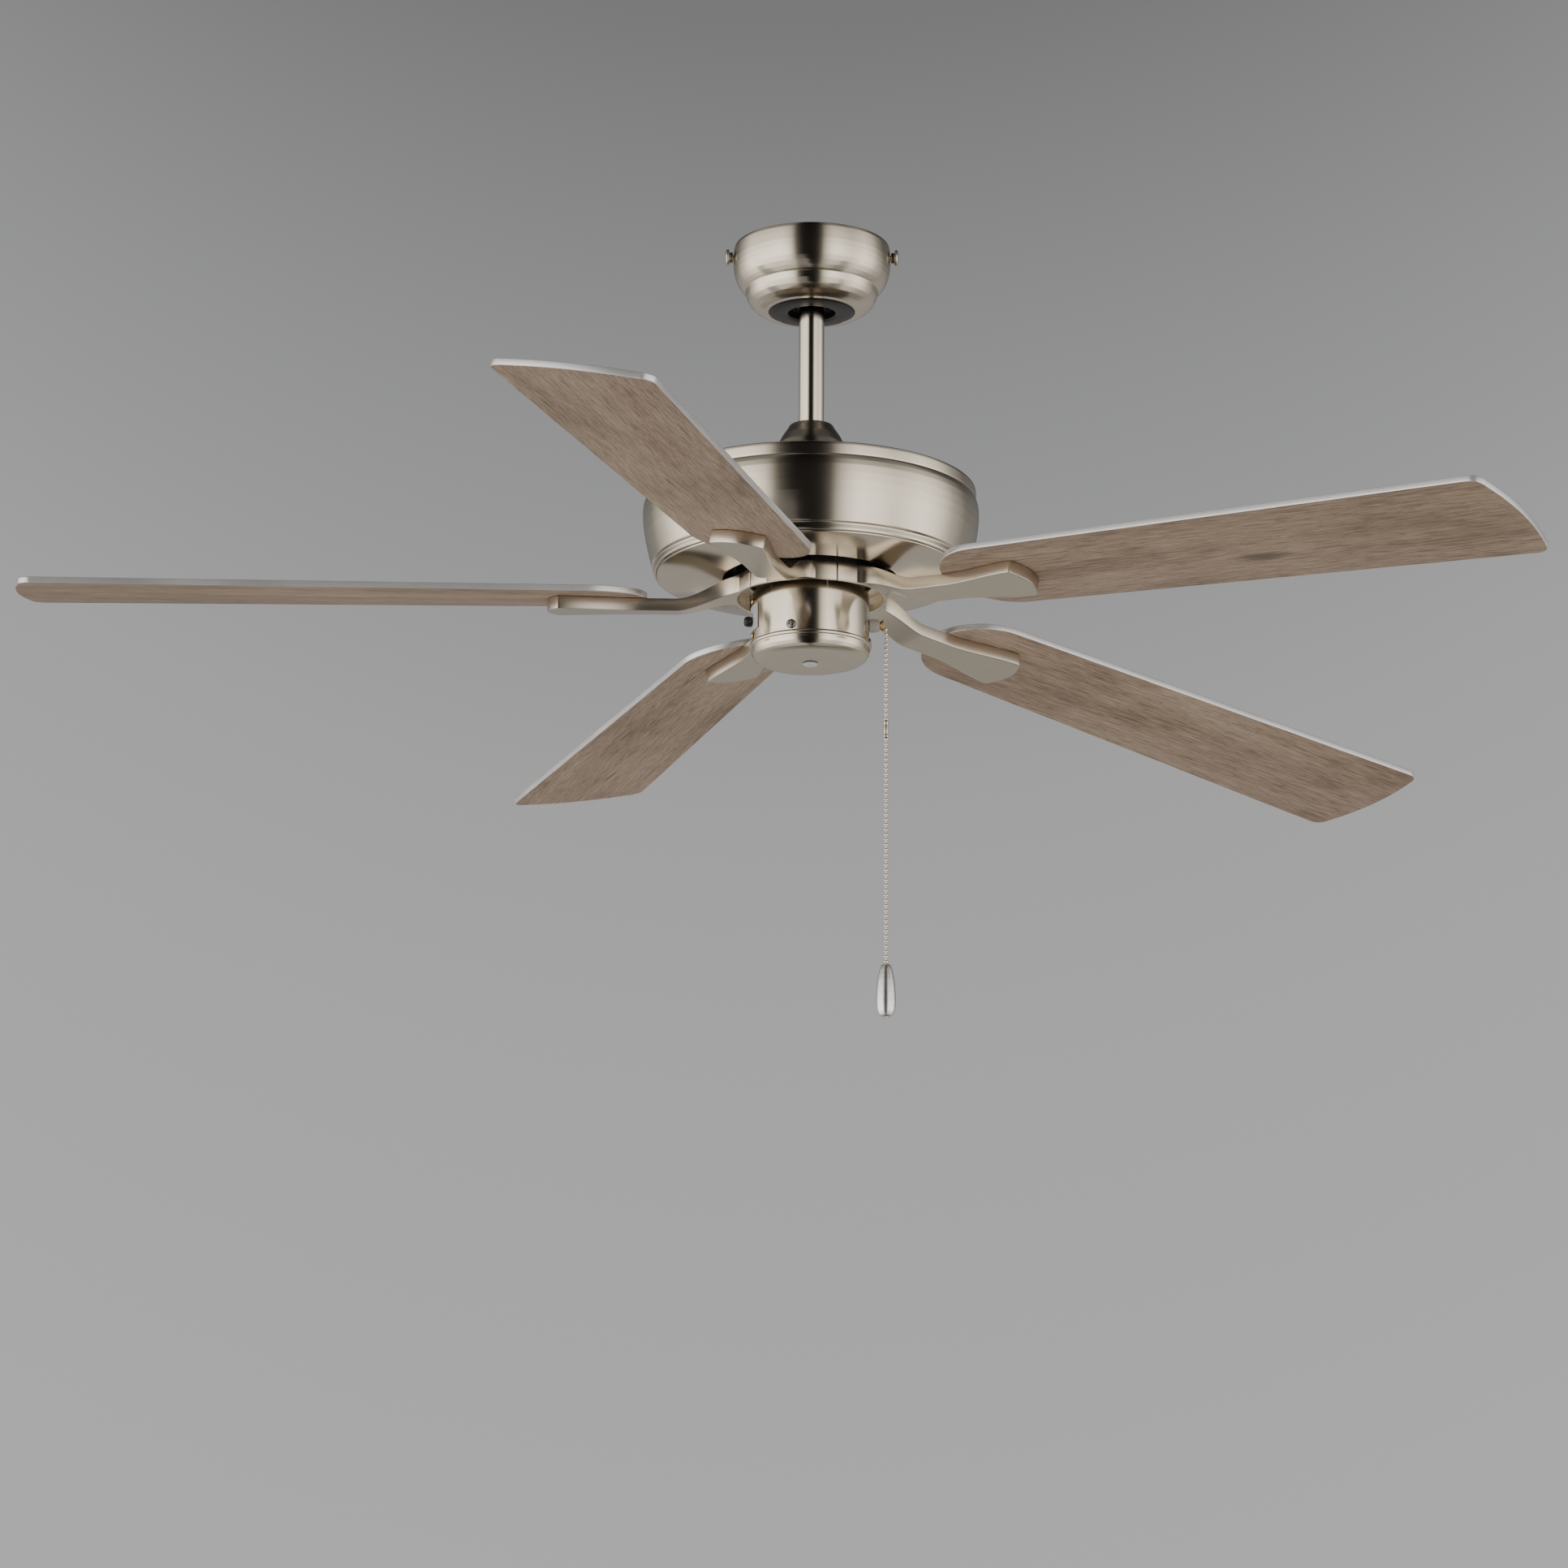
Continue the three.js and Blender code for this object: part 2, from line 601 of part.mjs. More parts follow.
const drop = new THREE.Group();
place(drop, 'hanger_ball', hangerBall(), BLACK_PLASTIC);
place(drop, 'ball_pin', crossBar(PIN_R, 34, BALL_PIN_Z), STEEL);
place(drop, 'downrod', downrod(), NICKEL);
place(drop, 'coupling_cover', couplingCover(), DARK_NICKEL);
place(drop, 'motor_yoke', motorYoke(), ZINC);
place(drop, 'yoke_pin', crossBar(PIN_R, 38, YOKE_PIN_Z), STEEL);
place(drop, 'motor_shaft', motorShaft(), STEEL);
place(drop, 'stator_core', statorCore(), IRON);
place(drop, 'upper_windings', windings(-240.6, -249.3), COPPER);
place(drop, 'lower_windings', windings(-264.7, -273.4), COPPER);
place(drop, 'upper_bearing', bearing(-227, -235), STEEL);
place(drop, 'lower_bearing', bearing(-285, -293), STEEL);
place(drop, 'housing_top', housingTop(), NICKEL);
place(drop, 'housing_band', housingBand(), NICKEL);
place(drop, 'housing_bottom', housingBottom(), NICKEL);
place(drop, 'mounting_plate', mountingPlate(), ZINC);
place(drop, 'switch_housing', switchDrum(), NICKEL);
place(drop, 'switch_cap', switchCap(), NICKEL);
place(drop, 'cap_plug', capPlug(), CHROME);
DRUM_SCREW_ANGLES.forEach((angle, i) => place(drop, `drum_screw_${i + 1}`, drumScrew(angle), STEEL));
place(drop, 'run_capacitor', runCapacitor(), BLACK_PLASTIC);
place(drop, 'speed_switch', speedSwitch(), BLACK_PLASTIC);
place(drop, 'chain_bushing', chainBushing(), PALE_PLASTIC);
place(drop, 'chain_mouth', chainMouth(), BRASS);
place(drop, 'reverse_switch_body', reverseBody(), BLACK_PLASTIC);
place(drop, 'reverse_switch_plate', reversePlate(), PALE_PLASTIC);
place(drop, 'reverse_screw_upper', reverseScrew(-316.1), BRASS);
place(drop, 'reverse_screw_lower', reverseScrew(-345.6), BRASS);
place(drop, 'reverse_knob', reverseKnob(), BLACK_PLASTIC);

const rotor = new THREE.Group();
place(rotor, 'rotor_top', rotorTop(), STEEL);
place(rotor, 'rotor_ring', rotorRing(), IRON);
place(rotor, 'rotor_bottom', rotorBottom(), BLACK_PAINT);
BLADE_SET.forEach((set, i) => {
  const angle = FIRST_BLADE_ANGLE + (i * 2 * Math.PI) / BLADE_COUNT;
  place(rotor, `blade_iron_${i + 1}`, bladeIron(set), NICKEL).rotation.z = angle;
  place(rotor, `blade_${i + 1}`, blade(set), OAK).rotation.z = angle;
});

const chain = new THREE.Group();
place(chain, 'pull_chain', pullChain(), BRASS);
place(chain, 'chain_connector', chainConnector(), CHROME);
place(chain, 'chain_fob', chainFob(), NICKEL);

fan.add(ceilingMount, drop, rotor, chain);

export default fan;
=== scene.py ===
# %% [markdown]
# # A ceiling fan, finished for looking at
#
# The fan already exists as a plain, exact model. Here it gets its real surfaces: cast
# nickel with soft edges, oak blades, a chain of beads. Lengths are in metres, +Z is up
# and the origin is on the ceiling, so a measured place can be used just as it is.

# %% Load the plain model
import math

import bpy
from mathutils import Matrix, Vector


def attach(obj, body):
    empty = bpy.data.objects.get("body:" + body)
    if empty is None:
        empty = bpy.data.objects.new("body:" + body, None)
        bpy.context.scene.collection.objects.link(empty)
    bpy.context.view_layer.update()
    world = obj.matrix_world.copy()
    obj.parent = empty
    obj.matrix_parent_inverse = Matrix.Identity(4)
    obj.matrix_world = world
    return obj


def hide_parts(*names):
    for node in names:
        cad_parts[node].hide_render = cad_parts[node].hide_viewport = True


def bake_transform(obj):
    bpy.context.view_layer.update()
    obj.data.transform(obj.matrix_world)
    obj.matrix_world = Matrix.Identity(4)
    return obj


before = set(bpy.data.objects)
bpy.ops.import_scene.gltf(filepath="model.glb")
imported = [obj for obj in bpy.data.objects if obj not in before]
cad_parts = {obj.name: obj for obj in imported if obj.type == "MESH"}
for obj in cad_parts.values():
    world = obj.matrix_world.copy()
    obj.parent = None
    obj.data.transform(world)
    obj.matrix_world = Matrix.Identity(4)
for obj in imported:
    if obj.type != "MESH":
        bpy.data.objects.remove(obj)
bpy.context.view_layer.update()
MM = 0.001

# %% [markdown]
# ## The camera first
#
# Everything is judged through the camera, so it comes first. It stands about four metres
# off and a little over a metre below the blades, looking up with a long lens, as a person
# would see a fan from across a room. A long lens keeps the blades in proportion.

# %% Camera
camera_data = bpy.data.cameras.new("camera")
camera_data.lens = 121.97
camera_data.sensor_width = 36.0
camera_data.clip_end = 100.0
camera = bpy.data.objects.new("camera", camera_data)
bpy.context.scene.collection.objects.link(camera)
camera.location = (-0.0134, -4.2544, -1.58105)
pitch, yaw, roll = math.radians(14.632), math.radians(-0.108), math.radians(0.298)
camera.rotation_euler = (
    Matrix.Rotation(-yaw, 3, "Z") @ Matrix.Rotation(math.pi / 2 + pitch, 3, "X")
    @ Matrix.Rotation(roll, 3, "Z")
).to_euler()
bpy.context.scene.camera = camera
print("camera lens", camera_data.lens, "mm at", list(camera.location))

# %% [markdown]
# ## Helpers for turned pieces
#
# Most of the fan is spun or turned metal: one outline swept round an axis. In Blender that
# is a wire of vertices, extruded point by point, whose corners are rounded by a vertex
# bevel before Spin sweeps it. Rounding the outline first gives every edge of the finished
# piece the small radius that pressed and polished metal has, and that is what catches light.

# %% Picking, settling and smoothing
def deselect():
    if bpy.context.object is not None and bpy.context.object.mode != "OBJECT":
        bpy.ops.object.mode_set(mode="OBJECT")
    bpy.ops.object.select_all(action="DESELECT")


def only(piece):
    deselect()
    piece.select_set(True)
    bpy.context.view_layer.objects.active = piece
    return piece


def settle(piece):
    """Puts the piece's place into its mesh, so that the object sits at the origin."""
    only(piece)
    bpy.ops.object.transform_apply(location=True, rotation=True, scale=True)
    return piece


def smooth(piece, degrees=35):
    only(piece)
    bpy.ops.object.shade_smooth_by_angle(angle=math.radians(degrees))
    return piece


print("helpers for picking, settling and smoothing are ready")

# %% Outlines
ON_AXIS = 1e-6


def outline(name, points, corner):
    """A wire in the XZ plane through [radius, height] points in millimetres, its corners rounded."""
    deselect()
    first = (points[0][0] * MM, 0, points[0][1] * MM)
    bpy.ops.mesh.primitive_plane_add(size=1, location=first)
    piece = bpy.context.object
    piece.name = name
    bpy.ops.object.transform_apply(location=False, scale=True)
    bpy.ops.object.mode_set(mode="EDIT")
    bpy.ops.mesh.select_mode(type="VERT")
    bpy.ops.mesh.select_all(action="SELECT")
    bpy.ops.mesh.merge(type="CENTER")
    for before, after in zip(points, points[1:]):
        step = ((after[0] - before[0]) * MM, 0, (after[1] - before[1]) * MM)
        bpy.ops.mesh.extrude_region_move(TRANSFORM_OT_translate={"value": step})
    if points[0][0] > 0 and points[-1][0] > 0:
        bpy.ops.object.mode_set(mode="OBJECT")
        for vertex in piece.data.vertices:
            vertex.select = vertex.index in (0, len(piece.data.vertices) - 1)
        bpy.ops.object.mode_set(mode="EDIT")
        bpy.ops.mesh.edge_face_add()
    if corner > 0:
        bpy.ops.object.mode_set(mode="OBJECT")
        for vertex in piece.data.vertices:
            vertex.select = vertex.co.x + piece.location.x > ON_AXIS
        bpy.ops.object.mode_set(mode="EDIT")
        bpy.ops.mesh.bevel(offset=corner * MM, segments=3, affect="VERTICES", clamp_overlap=True)
    bpy.ops.mesh.select_all(action="SELECT")
    return piece


def spun(piece, sides):
    """Sweeps the outline in hand round Z, and closes its seam and its poles."""
    bpy.ops.mesh.spin(steps=sides, angle=math.tau, center=(0, 0, 0), axis=(0, 0, 1))
    bpy.ops.mesh.select_all(action="SELECT")
    bpy.ops.mesh.remove_doubles(threshold=ON_AXIS)
    bpy.ops.mesh.normals_make_consistent(inside=False)
    bpy.ops.object.mode_set(mode="OBJECT")
    return settle(piece)


print("helpers for outlines are ready")

# %% Turned and finished pieces
def turned(name, points, corner=0.3, sides=96, facing=None):
    """A spun outline round Z. With facing, an angle and a height, its axis points outwards there."""
    piece = spun(outline(name, points, corner), sides)
    if facing is not None:
        angle, height = facing
        piece.rotation_euler = (0, math.pi / 2, 0)
        settle(piece)
        piece.rotation_euler = (0, 0, angle)
        piece.location = (0, 0, height * MM)
        settle(piece)
    return smooth(piece)


def finish_piece(piece, body, look, slot, *nodes):
    """Gives a piece its look and its moving body, and hides the plain nodes that it stands for."""
    piece.data.materials.clear()
    piece.data.materials.append(look)
    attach(piece, body)
    if nodes:
        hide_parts(*nodes)
    print(piece.name, "faces", len(piece.data.polygons))


print("helpers for turned pieces are ready")

# %% [markdown]
# ## A small language for shaders
#
# Shader nodes are sums and products with boxes round them. Wrapping a socket in a class
# that understands + - * lets a finish be written as the formula it is, and one method
# makes every other kind of node.

# %% Sockets
class Socket:
    def __init__(self, tree, socket):
        self.tree, self.socket = tree, socket

    def node(self, kind, settings=None, **inputs):
        """A new node. Inputs are named, with _ for a space, or numbered: i0, i1 and so on."""
        made = self.tree.nodes.new(kind)
        settings = dict(settings or {})
        stops = settings.pop("stops", ())
        for key, value in settings.items():
            setattr(made, key, value)
        if stops:
            ramp = made.color_ramp
            while len(ramp.elements) < len(stops):
                ramp.elements.new(1.0)
            for element, (place, colour) in zip(ramp.elements, stops):
                element.position = place
                element.color = (*colour, 1.0)
        for key, value in inputs.items():
            numbered = key[0] == "i" and key[1:].isdigit()
            target = made.inputs[int(key[1:]) if numbered else key.replace("_", " ")]
            if isinstance(value, Socket):
                self.tree.links.new(value.socket, target)
            else:
                target.default_value = value
        return made

    def out(self, made, name=0):
        return Socket(self.tree, made.outputs[name])

    def math(self, operation, other=None):
        inputs = {"i0": self} if other is None else {"i0": self, "i1": other}
        return self.out(self.node("ShaderNodeMath", {"operation": operation}, **inputs))

    def __add__(self, other):
        return self.math("ADD", other)

    def __radd__(self, other):
        return self.math("ADD", other)

    def __mul__(self, other):
        return self.math("MULTIPLY", other)

    def __rmul__(self, other):
        return self.math("MULTIPLY", other)

    def __sub__(self, other):
        return self.math("SUBTRACT", other)

    def __rsub__(self, other):
        return (self * -1.0) + other

    def clamp(self):
        return self.out(self.node("ShaderNodeClamp", Value=self))

    def step(self, low, high):
        """0 below low, 1 above high, smooth between."""
        made = self.node("ShaderNodeMapRange", {"interpolation_type": "SMOOTHSTEP"}, Value=self)
        made.inputs["From Min"].default_value = low
        made.inputs["From Max"].default_value = high
        return self.out(made)

    def scaled(self, scale, shift=(0, 0, 0)):
        return self.out(self.node("ShaderNodeMapping", Vector=self, Scale=scale, Location=shift))

    def vector_math(self, operation, other=None, output="Vector"):
        inputs = {"i0": self} if other is None else {"i0": self, "i1": other}
        return self.out(self.node("ShaderNodeVectorMath", {"operation": operation}, **inputs), output)

    def noise(self, scale, detail=3.0, roughness=0.5):
        inputs = {"Scale": scale, "Detail": detail, "Roughness": roughness}
        return self.out(self.node("ShaderNodeTexNoise", Vector=self, **inputs), "Fac")

    def ramp(self, *stops):
        return self.out(self.node("ShaderNodeValToRGB", {"stops": stops}, Fac=self), "Color")

    def mixed(self, low, high):
        """The colour low where this is 0 and high where it is 1."""
        made = self.node("ShaderNodeMix", {"data_type": "RGBA"}, i0=self)
        for index, colour in ((6, low), (7, high)):
            if isinstance(colour, Socket):
                self.tree.links.new(colour.socket, made.inputs[index])
            else:
                made.inputs[index].default_value = (*colour, 1.0)
        return self.out(made, 2)


print("sockets can be added, multiplied and mixed")

# %% Materials
def material(name, metallic=0.0, roughness=0.5, **constants):
    """A new material, its Principled shader, and its object coordinates as a Socket."""
    made = bpy.data.materials.new(name)
    made.use_nodes = True
    tree = made.node_tree
    shader = tree.nodes["Principled BSDF"]
    shader.inputs["Metallic"].default_value = metallic
    shader.inputs["Roughness"].default_value = roughness
    for key, value in constants.items():
        shader.inputs[key.replace("_", " ")].default_value = value
    coordinates = tree.nodes.new("ShaderNodeTexCoord")
    return made, shader, Socket(tree, coordinates.outputs["Object"])


def feed(shader, **links):
    for key, value in links.items():
        value.tree.links.new(value.socket, shader.inputs[key.replace("_", " ")])


def bump(height, strength=0.2, distance=0.0002):
    made = height.node("ShaderNodeBump", Height=height, Strength=strength, Distance=distance)
    return height.out(made, "Normal")


print("helpers for materials are ready")

# %% [markdown]
# ## Metal finishes
#
# Satin nickel is plated steel, brushed while it turns: fine lines run round the piece, too
# fine to see one by one, so they show as a slightly uneven sheen. Noise stretched thin along
# the height gives rings, and a cloud of soft larger noise keeps the tone from being flat.

# %% Satin metals
def plated(name, bright, dull, roughness, spread=0.04, grain=0.012, cloud=14.0):
    made, shader, place = material(name, metallic=1.0, roughness=roughness)
    rings = place.scaled((12, 12, 1900)).noise(1.0, detail=2.0)
    clouds = place.noise(cloud, detail=3.0, roughness=0.5)
    tone = (rings * 0.3 + clouds * 0.7).clamp()
    feed(
        shader,
        Base_Color=tone.step(0.2, 0.8).mixed(dull, bright),
        Roughness=tone * spread + (roughness - spread / 2),
        Normal=bump(rings, strength=grain, distance=0.0001),
    )
    return made


NICKEL = plated("satin_nickel", (0.63, 0.565, 0.475), (0.59, 0.53, 0.445), 0.17)
DARK_NICKEL = plated("dark_nickel", (0.30, 0.275, 0.24), (0.25, 0.23, 0.20), 0.26)
CAST_NICKEL = plated("cast_nickel", (0.655, 0.59, 0.495), (0.615, 0.555, 0.465), 0.29, grain=0.0, cloud=30)
STEEL = plated("plain_steel", (0.50, 0.50, 0.50), (0.40, 0.40, 0.41), 0.34, spread=0.12, cloud=90)
DARK_STEEL = plated("dark_steel", (0.27, 0.25, 0.225), (0.19, 0.175, 0.16), 0.3, spread=0.12, cloud=300)
ZINC = plated("zinc_plate", (0.46, 0.46, 0.46), (0.36, 0.36, 0.38), 0.38, spread=0.16, cloud=180)
BRASS = plated("brass", (0.66, 0.48, 0.25), (0.52, 0.36, 0.17), 0.25, spread=0.1, cloud=300)
SATIN_SILVER = plated("satin_silver", (0.83, 0.83, 0.83), (0.76, 0.765, 0.78), 0.3,
                      spread=0.08, grain=0.004, cloud=600)
CHAIN_METAL = plated("pale_brass", (0.90, 0.83, 0.70), (0.82, 0.74, 0.60), 0.14, spread=0.06, cloud=400)
print("metals ready")

# %% [markdown]
# ## Black plastics, paint and what is inside
#
# The trim ring and the switch knob are black nylon with a fine moulded grain; the rotor is
# black enamel on steel. The laminated core shows its sheets as lines, and the windings show
# their wires, so each of these has its own small pattern.

# %% Plastics, paint, iron and copper
def moulded(name, light, dark, roughness, grain=900.0, strength=0.12):
    made, shader, place = material(name, roughness=roughness)
    fine = place.noise(grain, detail=2.0)
    wide = place.noise(45.0, detail=3.0)
    feed(
        shader,
        Base_Color=wide.step(0.3, 0.7).mixed(dark, light),
        Roughness=wide * 0.12 + (roughness - 0.06),
        Normal=bump(fine, strength=strength, distance=0.0001),
    )
    return made


BLACK_PLASTIC = moulded("black_plastic", (0.014, 0.014, 0.015), (0.008, 0.008, 0.009), 0.38)
PALE_PLASTIC = moulded("pale_plastic", (0.60, 0.58, 0.53), (0.52, 0.50, 0.455), 0.42)
WHITE_PLASTIC = moulded("white_plastic", (0.86, 0.87, 0.88), (0.80, 0.81, 0.82), 0.35, strength=0.05)
BLACK_ENAMEL = moulded("black_enamel", (0.020, 0.019, 0.018), (0.010, 0.010, 0.010), 0.45, grain=300)


def banded(name, light, dark, lines, metallic, roughness):
    made, shader, place = material(name, metallic=metallic, roughness=roughness)
    bands = place.scaled((1, 1, lines)).noise(1.0, detail=1.0)
    cloud = place.noise(90.0, detail=3.0)
    tone = (bands * 0.6 + cloud * 0.4).step(0.35, 0.65)
    feed(
        shader,
        Base_Color=tone.mixed(dark, light),
        Roughness=tone * 0.15 + (roughness - 0.07),
        Normal=bump(bands, strength=0.4, distance=0.0003),
    )
    return made


LAMINATED = banded("laminated_iron", (0.22, 0.20, 0.18), (0.07, 0.06, 0.055), 1500, 0.8, 0.5)
COPPER = banded("copper_wire", (0.55, 0.23, 0.09), (0.25, 0.09, 0.03), 1100, 0.9, 0.35)
print("plastics, paint and windings ready")

# %% [markdown]
# ## The oak veneer
#
# The blades' lower face is a weathered grey-brown oak print: long fine pores, slow bands of
# lighter and darker wood, and one knot. Grain follows the blade, not the room, so it is
# drawn on the blade's own flat map, whose two directions are metres along and across.

# %% Oak
KNOT = (12.622, 4.318)
WEATHERED = (
    (0.30, (0.160, 0.105, 0.069)), (0.42, (0.325, 0.228, 0.160)), (0.50, (0.475, 0.345, 0.248)),
    (0.58, (0.60, 0.45, 0.34)), (0.70, (0.74, 0.59, 0.465)),
)


def oak():
    """Oak on the map called grain. The knot lies where the last blade's map passes it."""
    made, shader, place = material("weathered_oak", roughness=0.55)
    map_node = place.node("ShaderNodeUVMap", {"uv_map": "grain"})
    flat = place.out(map_node, "UV")
    bend = flat.scaled((3.0, 9.0, 1.0)).noise(1.0) * 0.012
    bent = flat.vector_math("ADD", bend.out(bend.node("ShaderNodeCombineXYZ", Y=bend)))
    bands = bent.scaled((3.0, 42.0, 1.0)).noise(1.0, roughness=0.6)
    streaks = bent.scaled((30.0, 640.0, 1.0)).noise(1.0, roughness=0.7)
    pores = bent.scaled((70.0, 1100.0, 1.0)).noise(1.0, detail=2.0, roughness=0.6).step(0.56, 0.68)
    cracks = bent.scaled((11.0, 300.0, 1.0)).noise(1.0, detail=2.0).step(0.66, 0.74)
    patches = flat.scaled((7.0, 12.0, 1.0)).noise(1.0, detail=2.0)

    squeeze = 3.4
    from_knot = flat.scaled((1.0, squeeze, 1.0), shift=(-KNOT[0], -KNOT[1] * squeeze, 0))
    ragged = (streaks * 0.5 + bands * 0.5 - 0.5) * 0.055
    knot = 1.0 - (from_knot.vector_math("LENGTH", output="Value") + ragged).step(0.006, 0.036)

    tone = bands * 0.3 + (streaks * 1.3 - 0.15) * 0.5 + patches * 0.2
    wood = tone.ramp(*WEATHERED)
    wood = (pores * 0.62).mixed(wood, (0.165, 0.105, 0.066))
    wood = (cracks * 0.7).mixed(wood, (0.105, 0.066, 0.042))
    wood = (knot * 0.75).mixed(wood, (0.11, 0.072, 0.048))
    feed(
        shader,
        Base_Color=wood,
        Roughness=0.44 + streaks * 0.22,
        Normal=bump(streaks * 0.6 - pores * 0.5 - cracks * 0.5, strength=0.25, distance=0.0002),
    )
    return made


OAK = oak()
print("oak ready")

# %% Silver lacquer
def silver_lacquer():
    made, shader, place = material("silver_lacquer", metallic=0.7, roughness=0.38)
    flakes = place.noise(1400.0, detail=2.0)
    wide = place.noise(18.0, detail=4.0)
    tone = (wide * 0.6 + flakes * 0.4).step(0.3, 0.7)
    feed(
        shader,
        Base_Color=tone.mixed((0.72, 0.72, 0.73), (0.82, 0.82, 0.83)),
        Roughness=wide * 0.14 + 0.31,
        Normal=bump(flakes, strength=0.05, distance=0.00005),
    )
    return made


SILVER = silver_lacquer()
print("lacquer ready")

# %% [markdown]
# ## The pull chain
#
# A ball chain is a string of hollow beads held by short dumb-bell links, so between two
# beads only a thin neck shows. A small sphere and a thin neck are set at every step of the
# chain's route, out of the mouth, over a quarter turn and straight down, and then joined.

# %% Route of the chain
CHAIN_X, CHAIN_TOP, BEND = 58.0, -333.7, 5.0
CONNECTOR_TOP, CONNECTOR_LENGTH, CHAIN_FOOT = -416.0, 14.0, -622.2
BEAD, PITCH = 3.3, 4.3
ARC = BEND * math.pi / 2
CHAIN_LENGTH = ARC + (CHAIN_TOP - BEND - CHAIN_FOOT)


def route_point(travel):
    """Where the chain is after so many millimetres, in metres, and how far it has turned down."""
    turn = min(travel, ARC) / BEND
    drop = BEND * (1 - math.cos(turn)) + max(travel - ARC, 0)
    return [(CHAIN_X + BEND * math.sin(turn)) * MM, 0, (CHAIN_TOP - drop) * MM], turn


ROUTE_STEPS = 40
route = [route_point(CHAIN_LENGTH * index / ROUTE_STEPS)[0] for index in range(ROUTE_STEPS + 1)]
print("chain length mm", round(CHAIN_LENGTH, 1))

# %% [markdown]
# The straight part of that route needs few points, but the tight bend at the mouth needs two
# more than the even steps give it.

# %% Points in the bend
BEND_STEP = 2.6
route[1:1] = [route_point(BEND_STEP * step)[0] for step in (1, 2)]
print("route of", len(route), "points")

# %% Beads
def joined(pieces, name):
    deselect()
    for piece in pieces:
        piece.select_set(True)
    bpy.context.view_layer.objects.active = pieces[0]
    bpy.ops.object.join()
    bpy.context.object.name = name
    return bpy.context.object


def bead_chain():
    """Beads and necks along the route. The beads inside the connector are a little smaller."""
    pinch, spare = 2.2, 0.3
    sleeve_top = (CONNECTOR_TOP - pinch) * MM
    sleeve_foot = (CONNECTOR_TOP - CONNECTOR_LENGTH + pinch) * MM
    parts = []
    travel = BEAD / 2
    while travel < CHAIN_LENGTH - spare:
        point, _ = route_point(travel)
        hidden = sleeve_foot < point[2] < sleeve_top
        radius = BEAD / 2 * MM * (0.9 if hidden else 1.0)
        deselect()
        bpy.ops.mesh.primitive_uv_sphere_add(segments=12, ring_count=8, radius=radius, location=point)
        parts.append(bpy.context.object)
        if travel + PITCH < CHAIN_LENGTH - spare:
            middle, turn = route_point(travel + PITCH / 2)
            bpy.ops.mesh.primitive_cylinder_add(
                vertices=6, radius=0.5 * MM, depth=(PITCH - BEAD + 1.2) * MM,
                location=middle, rotation=(0, math.pi / 2 + turn, 0))
            parts.append(bpy.context.object)
        travel += PITCH
    return smooth(settle(joined(parts, "bead_chain")), 60)


chain = bead_chain()
print("beads and necks", len(chain.data.polygons), "faces")

# %% [markdown]
# ## Connector and fob
#
# The connector is a pinched metal sleeve that clips two lengths of chain together, so its
# middle is wide and its ends close in on a bead. The fob is a smooth teardrop, heavy enough to
# keep the chain straight. Both are turned on the fan's axis and then moved out to the chain.

# %% Connector and fob
hang = (CHAIN_X + BEND) * MM
top, foot = CONNECTOR_TOP, CONNECTOR_TOP - CONNECTOR_LENGTH
connector = turned("connector_sleeve", [
    [1.75, top - 0.2], [1.95, top], [2.1, top - 1.2], [1.85, top - 2.6], [1.9, top - 4], [2.1, top - 5.6],
    [2.1, foot + 5.6], [1.9, foot + 4], [1.85, foot + 2.6], [2.1, foot + 1.2], [1.95, foot],
    [1.75, foot + 0.2],
], corner=0.25, sides=32)
fob = turned("teardrop_fob", [
    [0, -622.6], [1.9, -622.5], [3.3, -623.2], [4.4, -624.9], [5.3, -627.6], [6.3, -632], [7.1, -636.6],
    [7.7, -642], [8.1, -648], [8.25, -654.5], [7.9, -659.4], [7, -663], [5.5, -665.7], [3.4, -667.1],
    [1.6, -667.2], [1.4, -666.2], [0, -666.2],
], corner=0.5, sides=64)
for piece in (connector, fob):
    piece.location.x = hang
    settle(piece)
finish_piece(connector, "pull_chain", NICKEL, "chrome", "chain_connector")
finish_piece(fob, "pull_chain", SATIN_SILVER, "nickel", "chain_fob")

# %% [markdown]
# The bead chain, built along its route at its true length, takes its finish; its place is put
# into its mesh and the plain chain is hidden.

# %% Chain finish
chain.data.materials.clear()
chain.data.materials.append(CHAIN_METAL)
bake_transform(chain)
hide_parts("pull_chain")

# %% [markdown]
# ## Ceiling canopy
#
# The canopy is spun from one disc of steel in two steps, with a crease between them. Its
# outline is drawn once outside and back again inside, so the cup has a real wall. The trim
# ring under it is a black plastic disc with a collar, turned in the same way.

# %% Canopy and trim ring
canopy = turned("spun_canopy", [
    [65.6, -0.3], [66.3, -3], [66.5, -8], [66.6, -14], [66.3, -19], [65.6, -23.4], [64.4, -27.8],
    [62.6, -31.8], [60.2, -35.4], [57.6, -38.2], [56.2, -39.4], [55.9, -40.6], [55, -44.6], [52.8, -48.9],
    [49.4, -52.5], [45, -55.3], [40.6, -56.9], [36.5, -57.4], [36.4, -55.4], [28, -55.4], [28, -54.2],
    [39, -54.6], [47, -51], [52, -45.4], [53.4, -39], [57.6, -35.2], [63.8, -26], [65, -16], [64.2, -0.3],
], corner=0.35, sides=128)
finish_piece(canopy, "ceiling_mount", NICKEL, "nickel", "canopy")
trim = turned("trim_ring", [
    [36, -55.7], [36.1, -57.4], [34.6, -58.2], [29, -59.0], [23, -59.2], [20.8, -58.9], [20, -58.1],
    [20, -47.6], [21.4, -47.6], [21.4, -55.7],
], corner=0.3, sides=96)
finish_piece(trim, "ceiling_mount", BLACK_PLASTIC, "black_plastic", "canopy_ring")

